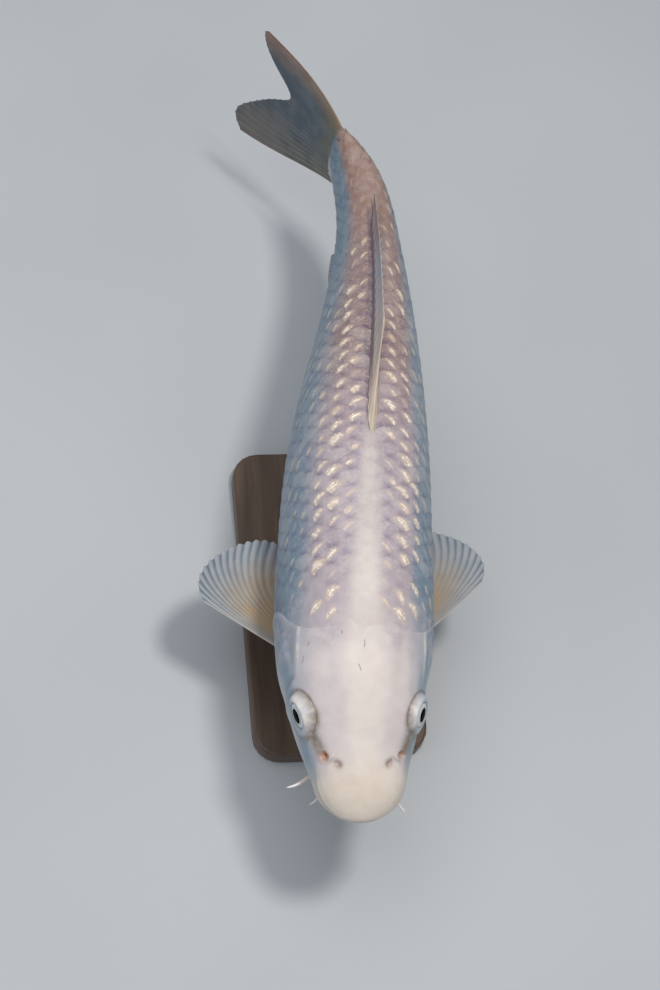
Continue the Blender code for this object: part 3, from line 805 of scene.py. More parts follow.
def scale_finish():
    made, hand, shader = new_finish("koi_scales", **WET_SHEEN)
    along, across = hand.value("along"), hand.value("across")
    station, girth, chance = hand.value("station"), hand.value("girth"), hand.value("chance")
    ground = hand.group(
        markings, {"Station": station, "Girth": girth, "Round": hand.value("round")}
    )
    clear = net_and_shade_strength(hand, station, ground["Stripe"])
    cloudy = hand.within(station, 0.23, 0.34, 0.06, 0.10)
    clouded = hand.group(mottle, {"Colour": ground["Colour"], "Amount": cloudy, "Size": 210.0})
    tone = hand.mix(hand.times(clear, 0.12), clouded["Colour"], SCALE_ROSE)
    net = hand.mix(0.52, clouded["Colour"], NET_AND_SHADE_VIOLET)
    glint = hand.group(scale_glint, {
        "Along": along, "Across": across, "Chance": chance, "Strength": hand.value("glint")
    })
    high = hand.within(girth, 0.16, 0.34, 1.0, 0.25)
    colour = hand.patched(tone, (
        # The net, partly the scales' own colour and partly painted shade between them
        (hand.times(net_and_shade_mask(hand, along, across), clear), net),
        (hand.times(hand.within(chance, 0.25, 1.0, 0.0, 0.16), clear), SCALE_WARM),
        # Painted sparkle on fine threads, strongest near the back
        (hand.times(glint["Threads"], clear, 0.75, high), SPARKLE_PINK),
        # The glint's painted highlight: a tan halo and a bright core
        (hand.times(glint["Patch"], 0.62), GLINT_TAN),
        (glint["Core"], GLINT_GOLD),
    ))
    growth = hand.math("SINE", hand.times(along, 95.0))
    relief = hand.scaled(growth, 0.12, hand.noise(1500, 2))
    relief = hand.scaled(glint["Core"], 0.8, relief)
    hand.feed_all(shader.inputs, {
        "Base Color": colour,
        "Roughness": hand.scaled(glint["Core"], -0.20, 0.44),
        "Normal": hand.bump(relief, 0.22, 0.0004),
    })
    return made


# ---- Skin ----


def mark(masks, name, amount):
    """Raises one of the skin's masks to an amount where it is lower."""
    masks[name] = np.maximum(masks[name], amount)


def stain(masks, stains):
    """Raises masks by humps, each as (mask, strength, distance, middle, width, part)."""
    for name, strength, distance, middle, width, part in stains:
        mark(masks, name, strength * hump(distance, middle, width) * part)


def raised(forms):
    """The sum of swellings and hollows, each as (height, distance, middle, width, part)."""
    return sum(
        height * hump(distance, middle, width) * part
        for height, distance, middle, width, part in forms
    )


# The skin is drawn to an eye this near to its axis and down to this height along it; the fold
# starts a step over the eyeball, and the opening's wall goes down behind it
EYE_REACH = 0.06
EYE_REACH_IN = -0.02
FOLD_STEP = 0.0003
EYE_WALL_DEPTH = 0.009
EYE_WALL_WIDTH = 0.0026


def eye_axes(side):
    """The eye's outward axis, and its rearward and upward directions, on one side."""
    up, forward = math.radians(EYE_UP[side]), math.radians(EYE_FORWARD)
    level = math.cos(up)
    out = np.array([level * math.cos(forward), -level * math.sin(forward), math.sin(up)])
    rear = unit(np.array([0.0, 1.0, 0.0]) - out * out[1])
    above = np.cross(rear, out)
    above = above if above[2] > 0 else -above
    flip = np.array([SIDES[side], 1, 1])
    return out * flip, rear * flip, above * flip


def eye_centre(side):
    station, offset, height = EYE_CENTRE
    return np.array([SIDES[side] * offset, station, height])


def eye_front(radius):
    return EYE_APEX - radius**2 / (2 * EYE_CURVATURE)


def groove_radius(back, up):
    """Radius of the groove round the eye's fold in a direction given by unit shares back and up."""
    vertical = np.where(up > 0, GROOVE_RADIUS_UP, GROOVE_RADIUS_DOWN)
    return vertical * up**2 + GROOVE_RADIUS_ALONG * back**2


def shape_eye_socket(points, masks):
    """Draws the skin round each eye into an opening, a raised fold and the groove behind it."""
    for side in SIDES:
        out, rear, above = eye_axes(side)
        away = points - eye_centre(side)
        height = away @ out
        back, up = away @ rear, away @ above
        radius = np.hypot(back, up) + 1e-9
        near = (radius < EYE_REACH) & (height > EYE_REACH_IN)
        back, up = back / radius, up / radius
        upper = 0.5 + 0.5 * up
        border = groove_radius(back, up)
        share = (radius - EYE_OPENING) / (border - EYE_OPENING)
        inner = np.clip(share, 0, 1)
        lip = eye_front(EYE_OPENING) + FOLD_STEP
        swell = (0.0006 + 0.0012 * upper) * np.sin(math.pi * inner**0.8)
        fold = lip + (height - lip) * inner**2.2 + swell
        groove = (0.0008 + 0.0009 * upper) * hump(radius - border, 0.0002, 0.0022)
        wanted = np.where(share < 1, fold, height) - groove
        sunk = lip - EYE_WALL_DEPTH * smooth(0, EYE_WALL_WIDTH, EYE_OPENING - radius)
        wanted = np.where(radius < EYE_OPENING, sunk, wanted)
        points = points + np.where(near, wanted - height, 0.0)[..., None] * out
        # A painted highlight on the fold's crest, stronger on its upper side
        crest = hump(share, 0.50, 0.42)
        mark(masks, "pale", near * 0.80 * crest * (0.35 + 0.65 * upper))
        mark(masks, "furrow", near * eye_furrow(radius, radius - border, back, upper))
    return points


def eye_furrow(radius, beyond, back, upper):
    """Strength of the olive in the groove, more so up and ahead, and of the painted shadow round the
    opening's rim.
    """
    ahead = np.clip(-back, 0, 1) * upper
    olive = 0.40 + 0.38 * upper + 0.30 * ahead
    olive = olive * hump(beyond, 0.0010 + 0.0022 * ahead, 0.0028 + 0.0040 * ahead)
    # The darker rim is painted shadow where the fold meets the eyeball
    return np.maximum(olive, 0.45 * hump(radius, EYE_OPENING, 0.0009))


# Nostrils, as (station, angle): the hind opening by the eye and the fore opening, left side
HIND_NOSTRIL = (0.0752, 42.0)
FORE_NOSTRIL = (0.0635, 58.5)
# The fore opening is a slit between two places on the line from the hind one
FORE_NOSTRIL_ENDS = (-0.0006, 0.0034)
FURROW_FRONT = (0.0815, 38.0)
FURROW_REAR = (0.1030, 33.0)
KNOB_AHEAD = 0.0105

# The left nostril, at sign 1, is the paler one
RUST_SHARE = {1: 0.45, -1: 0.95}


def spot(place_by_angle, sign):
    """The straight body point at a station and angle, on the left at sign 1."""
    station, angle = place_by_angle
    return loft(station, math.radians(angle if sign > 0 else 180 - angle))


def off_line(points, start, end):
    """Distance of each point from a line."""
    span = end - start
    share = np.clip((points - start) @ span / (span @ span), 0, 1)
    return np.linalg.norm(points - start - share[..., None] * span, axis=-1)


def nostril_relief(points, masks):
    """The nostrils in their basins with the flap between them, a knob ahead and a furrow behind."""
    lift = np.zeros(points.shape[:-1])
    forward = np.array([0.0, -1.0, 0.0])
    for sign in SIDES.values():
        hind, fore = spot(HIND_NOSTRIL, sign), spot(FORE_NOSTRIL, sign)
        axis = unit(fore - hind)
        from_middle = points - (hind + fore) / 2
        basin = off_line(points, hind, fore)
        to_fore = off_line(points, *(fore + end * axis for end in FORE_NOSTRIL_ENDS))
        to_hind = np.linalg.norm(points - hind, axis=-1)
        knob = np.linalg.norm(points - hind - KNOB_AHEAD * forward, axis=-1)
        furrow = off_line(points, spot(FURROW_FRONT, sign), spot(FURROW_REAR, sign))
        across = from_middle @ axis + 0.18 * (from_middle @ forward)
        length = np.linalg.norm(from_middle, axis=-1)
        flap = hump(across, -0.0006, 0.0020) * hump(length, 0, 0.0066)
        lift += 0.0044 * flap + raised((
            (-0.0016, basin, 0, 0.0068, 1),
            (-0.0050, to_hind, 0, 0.0044, 1),
            (-0.0040, to_fore, 0, 0.0034, 1),
            (0.0009, to_hind, 0.0072, 0.0020, 1),
            (0.0010, knob, 0, 0.0050, 1),
            (-0.0011, furrow, 0, 0.0056, 1),
        ))
        # Painted highlights on the flap between the openings and on the knob ahead
        mark(masks, "pale", 0.85 * flap)
        stain(masks, (
            ("furrow", 0.88, furrow, 0, 0.0092, 1),
            ("rust", RUST_SHARE[sign], to_hind, 0, 0.0062, 1),
            ("brown", 0.82, to_fore, 0, 0.0056, 1),
            ("brown", 0.30, basin, 0, 0.0062, 1),
            ("pale", 0.45, knob, 0, 0.0055, 1),
        ))
    return lift


# Mouth, from the plane that parts the lips
MOUTH_HEIGHT = -0.030
MOUTH_TILT = 17.0
MOUTH_CORNER = 0.050
LIP_HEIGHT = 0.0080
LIP_ROLL = 0.0052
LOWER_LIP_EDGE = -0.026
ROSTRAL_START = 0.0135
ROSTRAL_SLOPE = 0.70


def mouth_relief(points, masks):
    """The parted lips, the groove over the upper lip, and the chin and snout tucked in."""
    station, height = points[..., 1], points[..., 2]
    above = height - (MOUTH_HEIGHT - math.tan(math.radians(MOUTH_TILT)) * station)
    opening = 1 - smooth(MOUTH_CORNER - 0.012, MOUTH_CORNER + 0.004, station)
    lips = 1 - smooth(MOUTH_CORNER - 0.004, MOUTH_CORNER + 0.012, station)
    groove = above - (ROSTRAL_START + ROSTRAL_SLOPE * station)
    sides = (1 - smooth(0.045, 0.066, station)) * (1 - 0.6 * hump(points[..., 0], 0.0, 0.030))
    chin = (1 - smooth(-0.012, 0.002, above)) * lips
    front = (1 - smooth(-0.004, 0.026, above)) * (1 - smooth(0.015, 0.055, station))
    stain(masks, (
        # Painted shade in the slit between the lips
        ("gill", 0.75, above, 0, 0.0013, opening),
        ("furrow", 0.16, groove, 0, 0.0016, sides),
        # A painted highlight along the upper lip's roll
        ("pale", 0.4, above, 0.0075, 0.006, lips),
    ))
    return raised((
        (-0.0062, above, 0, 0.0020, opening),
        (0.0012, above, LIP_HEIGHT, LIP_ROLL, lips),
        (0.0004, above, -LIP_HEIGHT, LIP_ROLL, lips),
        (-0.0013, groove, 0, 0.0019, sides),
        (0.0007, groove, 0.0042, 0.0026, sides),
        (-0.0014, above, LOWER_LIP_EDGE, 0.0024, lips),
    )) - 0.0095 * chin - 0.0060 * front


# Side of the head: the ridge over the gill cover, and the groove in front of it
RIDGE_START = (0.168, 0.0425)
RIDGE_END = (0.262, 0.0830)
CHEEK_GROOVE_STATION = 0.170


def cheek_relief(points, masks):
    """The ridge over the gill cover, the bowed cheek groove ahead of it and the seam below."""
    station, height = points[..., 1], points[..., 2]
    slope = (RIDGE_END[1] - RIDGE_START[1]) / (RIDGE_END[0] - RIDGE_START[0])
    over = height - (RIDGE_START[1] + slope * (station - RIDGE_START[0]))
    ridge = smooth(0.165, 0.205, station) * (1 - smooth(0.215, 0.262, station))
    bow = 0.010 * smooth(-0.02, 0.04, height) - 6.0 * np.minimum(height + 0.02, 0) ** 2
    groove = station - (CHEEK_GROOVE_STATION + bow)
    cheek = (1 - smooth(0.030, 0.042, height)) * smooth(-0.105, -0.080, height)
    seam = height + 0.060 + 0.25 * (station - 0.22)
    stain(masks, (
        # A painted highlight along the ridge's crest
        ("pale", 0.85, over, 0.001, 0.0032, ridge),
        ("furrow", 0.30, groove, 0, 0.0022, cheek),
        ("furrow", 0.14, over, -0.0130, 0.0070, ridge),
    ))
    return raised((
        (0.0010, over, 0, 0.0075, ridge),
        (-0.0013, over, -0.0190, 0.0110, ridge),
        (-0.0024, groove, 0, 0.0026, cheek),
        (0.0012, groove, -0.010, 0.008, cheek),
        (0.0022, groove, 0.040, 0.026, cheek),
        (-0.0014, seam, 0, 0.0022, smooth(0.165, 0.185, station)),
    ))


# Forms of the skull's roof: height, offset and its width, station and its width
SKULL_FORMS = (
    (0.0010, 0.030, 0.014, 0.165, 0.035),
    (-0.0012, 0.0, 0.010, 0.105, 0.028),
    (-0.0009, 0.047, 0.008, 0.185, 0.030),
    (0.0008, 0.0, 0.014, 0.055, 0.018),
)


def skull_relief(points):
    """Gentle hollows and swellings of the skull's roof, the same on both sides."""
    offset, station = np.abs(points[..., 0]), points[..., 1]
    lift = raised(
        (height, offset, beside, width, hump(station, behind, length))
        for height, beside, width, behind, length in SKULL_FORMS
    )
    return lift * smooth(0.02, 0.06, points[..., 2])


def skin_stations():
    """Stations of the head's rows, evenly spaced along its profile."""
    tip = np.linspace(0, 0.01, 400) ** 2 * 100
    fine = np.concatenate([tip, np.linspace(0.0101, MEAN_GILL_BORDER, 900)])
    width, top, bottom, _ = section(fine)
    radius = (width + (top - bottom) / 2) / 2
    length = np.concatenate([[0], np.cumsum(np.hypot(np.diff(fine), np.diff(radius)))])
    return np.interp(np.linspace(0, length[-1], HEAD_ROWS), length, fine)


def skin_rows(angles):
    """Stations of every row and column: the head's end on the gill border, and the trunk's behind."""
    head = skin_stations()[:, None]
    border = gill_border(angles)[None, :]
    share = smooth(0.45, 1.0, head / MEAN_GILL_BORDER)
    head = head * (1 + (border / MEAN_GILL_BORDER - 1) * share)
    behind = border + 0.0005 + 0.022 * (np.linspace(0, 1, GILL_ROWS) ** 1.6)[:, None]
    return np.vstack([head, behind])


GILL_RIM_RISE = 0.0010
GILL_SLIT_DEPTH = 0.0070


def gill_relief(stations, angles, masks):
    """The gill cover's free edge, the slit behind it and the trunk's step down under the scales."""
    behind = stations - gill_border(angles)
    flap = (gill_border(angles) - NAPE) / OPERCLE_BULGE
    rim = hump(behind, -0.004, 0.004) * (behind <= 0) * flap
    slit = GILL_SLIT_DEPTH * flap * (1 - smooth(0.0, 0.014, behind)) * (behind > 0)
    step = COAT_DEPTH * (behind > 0)
    lobes = 0.0050 * np.sin(9 * angles + 0.6) + 0.0032 * np.sin(23 * angles + 2.0)
    ramp = COAT_DEPTH * smooth(-0.055, 0.020, behind + lobes)
    # Painted shade in the slit under the gill cover's edge
    mark(masks, "gill", flap * (behind > 0) * (1 - smooth(0.001, 0.010, behind)))
    # A painted highlight on the gill cover's rim
    mark(masks, "pale", 0.35 * rim)
    return GILL_RIM_RISE * rim - (slit + step * flap + ramp * (1 - flap))


def loft_normals(stations, angles):
    small = 1e-4
    along = loft(stations + small, angles) - loft(np.maximum(stations - small, 1e-6), angles)
    turn = loft(stations, angles + small * 20) - loft(stations, angles - small * 20)
    return unit(np.cross(along, turn))


def skin_grid():
    """Stations and angles of the skin's points: a dense grid on the head, half as dense behind."""
    angles = np.arange(HEAD_COLUMNS) * 2 * math.pi / HEAD_COLUMNS + math.pi / 2
    head = skin_rows(angles)
    last = head[-1, ::2]
    share = np.linspace(0, 1, TRUNK_ROWS + 1)[1:, None]
    trunk = last + (BODY_END - last) * share
    stations = np.concatenate([head.ravel(), trunk.ravel()])
    turns = [np.broadcast_to(angles, head.shape), np.broadcast_to(angles[::2], trunk.shape)]
    return stations, np.concatenate([turn.ravel() for turn in turns])


def shape_skin(stations, angles):
    """Straight body points of the skin with all its relief, and its masks."""
    masks = {name: np.zeros(len(stations)) for name in SKIN_MASKS}
    points = loft(stations, angles)
    lift = gill_relief(stations, angles, masks)
    head = stations < SKULL_END
    lift[head] += skull_relief(points[head])
    for relief in (nostril_relief, mouth_relief, cheek_relief):
        lift += relief(points, masks)
    points = points + loft_normals(stations, angles) * lift[:, None]
    return shape_eye_socket(points, masks), masks


def skin_faces():
    """Faces of the head's grid, the seam to half as many columns, the trunk's grid and the end."""
    head_rows, columns, half = HEAD_ROWS + GILL_ROWS, HEAD_COLUMNS, HEAD_COLUMNS // 2
    faces = quads(head_rows, columns, True).tolist()
    low, high = (head_rows - 1) * columns, head_rows * columns
    for i in range(half):
        upper = (low + 2 * i, low + 2 * i + 1, low + (2 * i + 2) % columns)
        faces.append((*upper, high + (i + 1) % half, high + i))
    faces += quads(TRUNK_ROWS, half, True, first=high).tolist()
    end = high + TRUNK_ROWS * half
    faces.append(tuple(range(end - half, end)))
    return faces


def build_skin(finish):
    stations, angles = skin_grid()
    points, masks = shape_skin(stations, angles)
    made = new_object("koi_skin", bend(points), skin_faces(), finish)
    girth = girth_share(stations, angles)
    side = np.where(np.cos(angles) >= 0, 1, -1)
    set_values(made, "station", stations)
    set_values(made, "girth", girth)
    set_values(made, "round", side * girth * half_girth(stations))
    for name, mask in masks.items():
        set_values(made, name, np.clip(mask, 0, 1))
    map_skin(made, stations, angles)
    ride(made)
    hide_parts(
        "head", "lip_upper", "lip_lower", "gill_cover_left", "gill_cover_right",
        "trunk_front", "trunk_rear", "tail_stalk",
    )


def map_skin(made, stations, angles):
    """An unwrap of the skin: round the section across, and along the body up."""
    index = corner_points(made)
    turn = ((angles - math.pi / 2) / (2 * math.pi)) % 1.0
    u, v = turn[index], 0.01 + 0.98 * stations[index] / BODY_END
    starts = np.empty(len(made.data.polygons), np.int32)
    totals = np.empty(len(made.data.polygons), np.int32)
    made.data.polygons.foreach_get("loop_start", starts)
    made.data.polygons.foreach_get("loop_total", totals)
    # A face across the seam takes its low corners on past the map's right edge
    face = np.repeat(np.arange(len(starts)), totals)
    high = np.zeros(len(starts))
    np.maximum.at(high, face, u)
    wraps = (high[face] > 0.75) & (u < 0.25)
    u = np.where(wraps, u + 1, u)
    set_bake_map(made, np.stack([0.005 + 0.98 * u, v], axis=-1))


# ---- Scales ----


def row_pitch(station):
    """Way from one row of scales to the next, which narrows with the body."""
    return SCALE_ROW_PITCH * (half_girth(station) / half_girths.max()) ** SCALE_ROW_TAPER


def scale_columns():
    """Stations of the scale columns, half a scale's spacing apart."""
    stations = [FIRST_SCALES - 0.02]
    while stations[-1] < LAST_SCALES:
        stations.append(stations[-1] + float(spacing_curve(stations[-1])) / 2)
    return np.array(stations)


def beside_dorsal(stations):
    return (stations > DORSAL_START + 0.01) & (stations < DORSAL_END + 0.01)


def scale_roots():
    """Every scale's station, row and length, in rows from the back, every other row half a step on."""
    columns = scale_columns()
    found = []
    for number, station in enumerate(columns[:-1]):
        spacing = (columns[number + 1] - station) * 2
        most = int(half_girth(station) / row_pitch(station))
        for row in range(-most, most + 1):
            if (row + number) % 2 or (row == 0 and beside_dorsal(station)):
                continue
            angle = float(angle_at(station, row * row_pitch(station)))
            if station < gill_border(angle) + 0.006 + 0.007 * math.sin(5.0 * row) ** 2:
                continue
            found.append((station, row, spacing))
    return np.array(found)


def scale_grid():
    """Places on a scale from its root (-1) to its tip (1) and across, on a square grid."""
    steps = np.linspace(-1, 1, SCALE_GRID + 1)
    a, b = np.meshgrid(steps, steps, indexing="ij")
    return a, b, a * np.sqrt(1 - b**2 / 2), b * np.sqrt(1 - a**2 / 2)


def scale_faces():
    """Faces of one closed scale: an upper and a lower sheet that share their rim."""
    size = SCALE_GRID + 1
    upper = np.arange(size * size).reshape(size, size)
    lower = upper.copy()
    lower[1:-1, 1:-1] = size * size + np.arange((size - 2) ** 2).reshape(size - 2, size - 2)
    sheets = [
        np.stack([sheet[:-1, :-1], sheet[:-1, 1:], sheet[1:, 1:], sheet[1:, :-1]], axis=-1)
        for sheet in (upper, lower)
    ]
    return np.vstack([sheets[0].reshape(-1, 4), sheets[1].reshape(-1, 4)[:, ::-1]])


def glint_strength(rows, stations, rng):
    """How bright each scale's glint is, a painted highlight over its reflective patch: brightest in the
    rows beside the back stripe.
    """
    row = np.abs(rows)
    inner = 0.42 + 0.58 * smooth(0.40, 0.47, stations)
    outer = 0.85 - 0.55 * smooth(0.38, 0.47, stations)
    by_row = 0.62 * inner * hump(row, 1.0, 0.5) + hump(row, 2.0, 0.5) + outer * hump(row, 3.0, 0.5)
    by_row += 0.24 * smooth(3.4, 4.0, row) * (1 - smooth(6.0, 8.0, row))
    chance = rng.random(len(rows))
    by_chance = smooth(-0.10, 0.90, chance) * (chance > 0.15)
    tail = 1 - 0.80 * smooth(0.66, 0.90, stations)
    nape = smooth(0.212, 0.262, stations)
    return by_row * by_chance * tail * nape


def by_scale(values):
    """A value for each scale, ready to meet the places on it."""
    return values[:, None, None]


def scale_places(stations, rows, spacings, turns, u, v):
    """Station and way round the body of every point of every scale, each scale turned a little."""
    cosine, sine = np.cos(by_scale(turns)), np.sin(by_scale(turns))
    length = by_scale(spacings * SCALE_LENGTH / 2)
    middle = by_scale(stations - spacings * (SCALE_LENGTH / 2 - 0.5))
    station = np.clip(middle + (u * cosine - v * sine) * length, 0.01, BODY_END)
    width = by_scale(row_pitch(stations)) * SCALE_WIDTH / 2
    way = by_scale(rows) * row_pitch(station) + (u * sine + v * cosine) * width
    # Scales beside the dorsal fin keep clear of its foot
    clear = by_scale(np.sign(rows)) * np.maximum(np.abs(way), DORSAL_FOOT)
    by_fin = by_scale(beside_dorsal(stations) & (rows != 0)) & (way * clear < DORSAL_FOOT**2)
    return station, np.where(by_fin, clear, way)


def scale_sheets(station, way, stations, tilts, u, v, rim):
    """World points of the upper and the lower sheets; the first scales lie lower than the rest."""
    angle = angle_at(station, way)
    base, normal = loft(station, angle), loft_normals(station, angle)
    settled = by_scale(0.28 + 0.72 * smooth(0.225, 0.330, stations))
    to_tip = 0.5 + 0.5 * u
    rise = SCALE_RISE * settled * to_tip * (1 + by_scale(tilts)) - SCALE_DOME * v**2 * to_tip
    thickness = SCALE_EDGE + (SCALE_THICKNESS - SCALE_EDGE) * (1 - rim**2)
    for height in (rise, rise - thickness):
        yield bend(base + normal * (height / STANDARD_LENGTH - COAT_DEPTH)[..., None])


def join_sheets(upper, lower):
    """All the upper points and the inner lower ones of each scale, in the order of its faces."""
    parts = upper, lower[:, 1:-1, 1:-1]
    flat = [part.reshape(len(part), -1, *part.shape[3:]) for part in parts]
    return np.concatenate(flat, axis=1)


def scale_regions(stations, rows):
    """Which scales each joined mesh takes."""
    back = np.abs(rows) * row_pitch(stations) / half_girth(stations) < BACK_SHARE
    front = stations < BACK_PARTING
    return {
        "scales_back_front": back & front,
        "scales_back_rear": back & ~front,
        "scales_flank_left": ~back & (rows > 0),
        "scales_flank_right": ~back & (rows < 0),
    }


def build_scales(finish):
    rng = np.random.default_rng(SEED)
    stations, rows, spacings = scale_roots().T
    strength = glint_strength(rows, stations, rng)
    chances = rng.random(len(rows))
    tilts = rng.normal(0, SCALE_TILT, len(rows))
    turns = rng.normal(0, math.radians(SCALE_TURN), len(rows))
    a, b, along, across = scale_grid()
    u, v, rim = along[None], across[None], np.maximum(np.abs(a), np.abs(b))[None]
    station, way = scale_places(stations, rows, spacings, turns, u, v)
    points = join_sheets(*scale_sheets(station, way, stations, tilts, u, v, rim))
    values = {
        "station": station,
        "girth": np.abs(way) / half_girth(station),
        "round": way,
        "along": u,
        "across": v * by_scale(np.where(rows < 0, -1, 1)),
        "chance": by_scale(chances),
        "glint": by_scale(strength),
    }
    for name, value in values.items():
        value = np.broadcast_to(value, station.shape)
        values[name] = join_sheets(value, value)
    one_scale, cells = scale_faces(), bake_cells(stations, rows)
    for name, chosen in scale_regions(stations, rows).items():
        first = by_scale(np.arange(np.count_nonzero(chosen)) * points.shape[1])
        faces = (one_scale + first).reshape(-1, 4).tolist()
        made = new_object(name, points[chosen].reshape(-1, 3), faces, finish, sharp=50)
        for value_name, value in values.items():
            set_values(made, value_name, value[chosen])
        map_scales(made, cells[chosen], a, b, len(one_scale))
        ride(made)


# Cells of the scales' map, side by side
BAKE_COLUMNS = 36


def bake_cells(stations, rows):
    """Each scale's corner and size on an unwrap of the body, in cells that don't overlap."""
    columns = scale_columns()
    column = np.searchsorted(columns, stations - 1e-9)
    wide, high = 1 / BAKE_COLUMNS, 1 / (len(columns) / 2 + 1)
    left = 0.5 + rows * wide - wide / 2
    bottom = (column // 2) * high
    return np.stack([left, bottom, np.full(len(rows), wide), np.full(len(rows), high)], axis=-1)


def map_scales(made, cells, a, b, faces_each):
    """The upper sheet takes most of its scale's cell, and the lower sheet a narrow strip beside it."""
    share = np.stack([(b + 1) / 2, (a + 1) / 2], axis=-1)
    local = np.concatenate([share.reshape(-1, 2), share[1:-1, 1:-1].reshape(-1, 2)])
    index = corner_points(made)
    place_in = local[index % len(local)]
    is_lower = np.tile(np.repeat(np.arange(faces_each) >= faces_each // 2, 4), len(cells))
    cell = cells[index // len(local)]
    across = np.where(is_lower, 0.86 + 0.10 * place_in[:, 0], 0.03 + 0.78 * place_in[:, 0])
    u = cell[:, 0] + cell[:, 2] * across
    v = cell[:, 1] + cell[:, 3] * (0.04 + 0.92 * place_in[:, 1])
    set_bake_map(made, np.stack([u, v], axis=-1))


# ---- Fins ----

# Places, heights and lengths in shares; angles, leans, sweeps and droops in degrees
TAIL_SHARES = (0, 0.12, 0.3, 0.48, 0.62, 0.78, 0.92, 1)
TAIL_STATIONS = (1.200, 1.196, 1.166, 1.134, 1.160, 1.200, 1.229, 1.222)
TAIL_HEIGHTS = (0.122, 0.098, 0.058, 0.018, -0.012, -0.060, -0.118, -0.150)
TAIL_ROOT_TOP = 0.058
TAIL_ROOT_BOTTOM = -0.056
TAIL_ROOT_INSET = 0.012
TAIL_ROOT_SWEEP = 0.035
TAIL_EDGE_BULGE = 0.012
FIN_ROOT_INSET = 0.008
DORSAL_START = 0.482
DORSAL_END = 0.872
DORSAL_SHARES = (0, 0.06, 0.16, 0.3, 0.6, 1)
DORSAL_LENGTHS = (0.160, 0.150, 0.110, 0.082, 0.062, 0.036)
DORSAL_ANGLES = (14, 15, 19, 22, 24, 24)
DORSAL_LEANS = (6, 7, 10, 9, 5, 4)
DORSAL_FOLD = 0.4
ANAL_START = 0.785
ANAL_END = 0.850
ANAL_LENGTHS = (0.136, 0.070)
ANAL_ANGLES = (31, 20)
ANAL_BEND = -0.034
ANAL_CORNER_TRIM = 0.16
ANAL_CORNER_POWER = 6
PECTORAL = {
    "root_front": (0.262, 0.074, -0.088),
    "root_rear": (0.288, 0.062, -0.100),
    "shares": (0, 0.08, 0.3, 0.6, 0.85, 1),
    "lengths": (0.138, 0.156, 0.182, 0.186, 0.174, 0.150),
    "sweeps": (33, 36, 47, 63, 77, 85),
    "droop": 2,
    "curl": 0.006,
}
PELVIC = {
    "root_front": (0.500, 0.040, -0.132),
    "root_rear": (0.524, 0.024, -0.138),
    "shares": (0, 0.1, 0.35, 0.65, 0.9, 1),
    "lengths": (0.112, 0.125, 0.130, 0.116, 0.096, 0.086),
    "sweeps": (68, 70, 75, 82, 87, 89),
    "droop": 17,
    "curl": 0.004,
}
PECTORAL_SWEEPS = {"left": 14.0, "right": -3.0}
PECTORAL_SIZES = {"left": 1.035, "right": 0.873}
PECTORAL_FRONT_GROWTHS = {"left": 0.2, "right": 0.14}

# Each fin's rays, points across a ray and along it, thickness at the root and at the edge, the
# depth of its pleats, how far its rays bow to the front, how much they fork and how much its
# corners are trimmed (metres, shares)
FIN_KEYS = ("rays", "each", "along", "root", "edge", "pleat", "bow", "fork", "trim")
FIN_BUILDS = {
    "caudal": (24, 9, 64, 0.0030, 0.0006, 0.00014, 0.0, 0.6, 0.045),
    "dorsal": (20, 9, 48, 0.0060, 0.0007, 0.00025, 0.0, 0.3, 0.0),
    "anal": (9, 12, 40, 0.0026, 0.0006, 0.00028, 0.1, 0.4, 0.03),
    "pectoral": (15, 12, 68, 0.0030, 0.0005, 0.00032, 0.85, 0.0, 0.0),
    "pelvic": (10, 12, 44, 0.0026, 0.0005, 0.00035, 0.5, 0.0, 0.05),
}
# Every fin's edge: notches between its rays, its two corners' shares of the width, and how fast it
# thickens from its front and rear edges
EDGE_NOTCH = 0.014
FRONT_CORNER = 0.05
REAR_CORNER = 0.14
EDGE_TAPER = 14

tail_station_curve = Curve(TAIL_SHARES, TAIL_STATIONS)
tail_height_curve = Curve(TAIL_SHARES, TAIL_HEIGHTS)
dorsal_length_curve = Curve(DORSAL_SHARES, DORSAL_LENGTHS)
dorsal_angle_curve = Curve(DORSAL_SHARES, np.radians(DORSAL_ANGLES))
dorsal_lean_curve = Curve(DORSAL_SHARES, np.radians(DORSAL_LEANS))


def tail_surface(across, along):
    root = mixed(TAIL_ROOT_TOP, TAIL_ROOT_BOTTOM, across)
    start = BODY_END - TAIL_ROOT_INSET - TAIL_ROOT_SWEEP * np.maximum(2 * across - 1, 0) ** 2
    station = mixed(start, tail_station_curve(across), along)
    bulge = TAIL_EDGE_BULGE * (1 - 2 * across) * np.sin(math.pi * along)
    return place(station, 0.0, mixed(root, tail_height_curve(across), along) + bulge)


def dorsal_surface(across, along):
    root = mixed(DORSAL_START, DORSAL_END, across)
    length, angle = dorsal_length_curve(across), dorsal_angle_curve(across)
    lean = dorsal_lean_curve(across)
    station = root + length * along * np.cos(angle)
    opening = DORSAL_FOLD + (1 - DORSAL_FOLD) * along
    rise = length * along * np.sin(angle) * np.sin(math.pi / 2 * opening)
    back = section(station)[1]
    height = back - FIN_ROOT_INSET + (rise + FIN_ROOT_INSET) * np.cos(lean)
    return place(station, rise * np.sin(lean), height)


def anal_surface(across, along):
    root = mixed(ANAL_START, ANAL_END, across)
    length = mixed(*ANAL_LENGTHS, across)
    length = length * (1 - ANAL_CORNER_TRIM * (1 - across) ** ANAL_CORNER_POWER)
    angle = np.radians(mixed(*ANAL_ANGLES, across))
    station = root + length * along * np.cos(angle)
    belly = section(root)[2]
    height = belly + FIN_ROOT_INSET - (length * np.sin(angle) + FIN_ROOT_INSET) * along
    return place(station, ANAL_BEND * along**2, height)


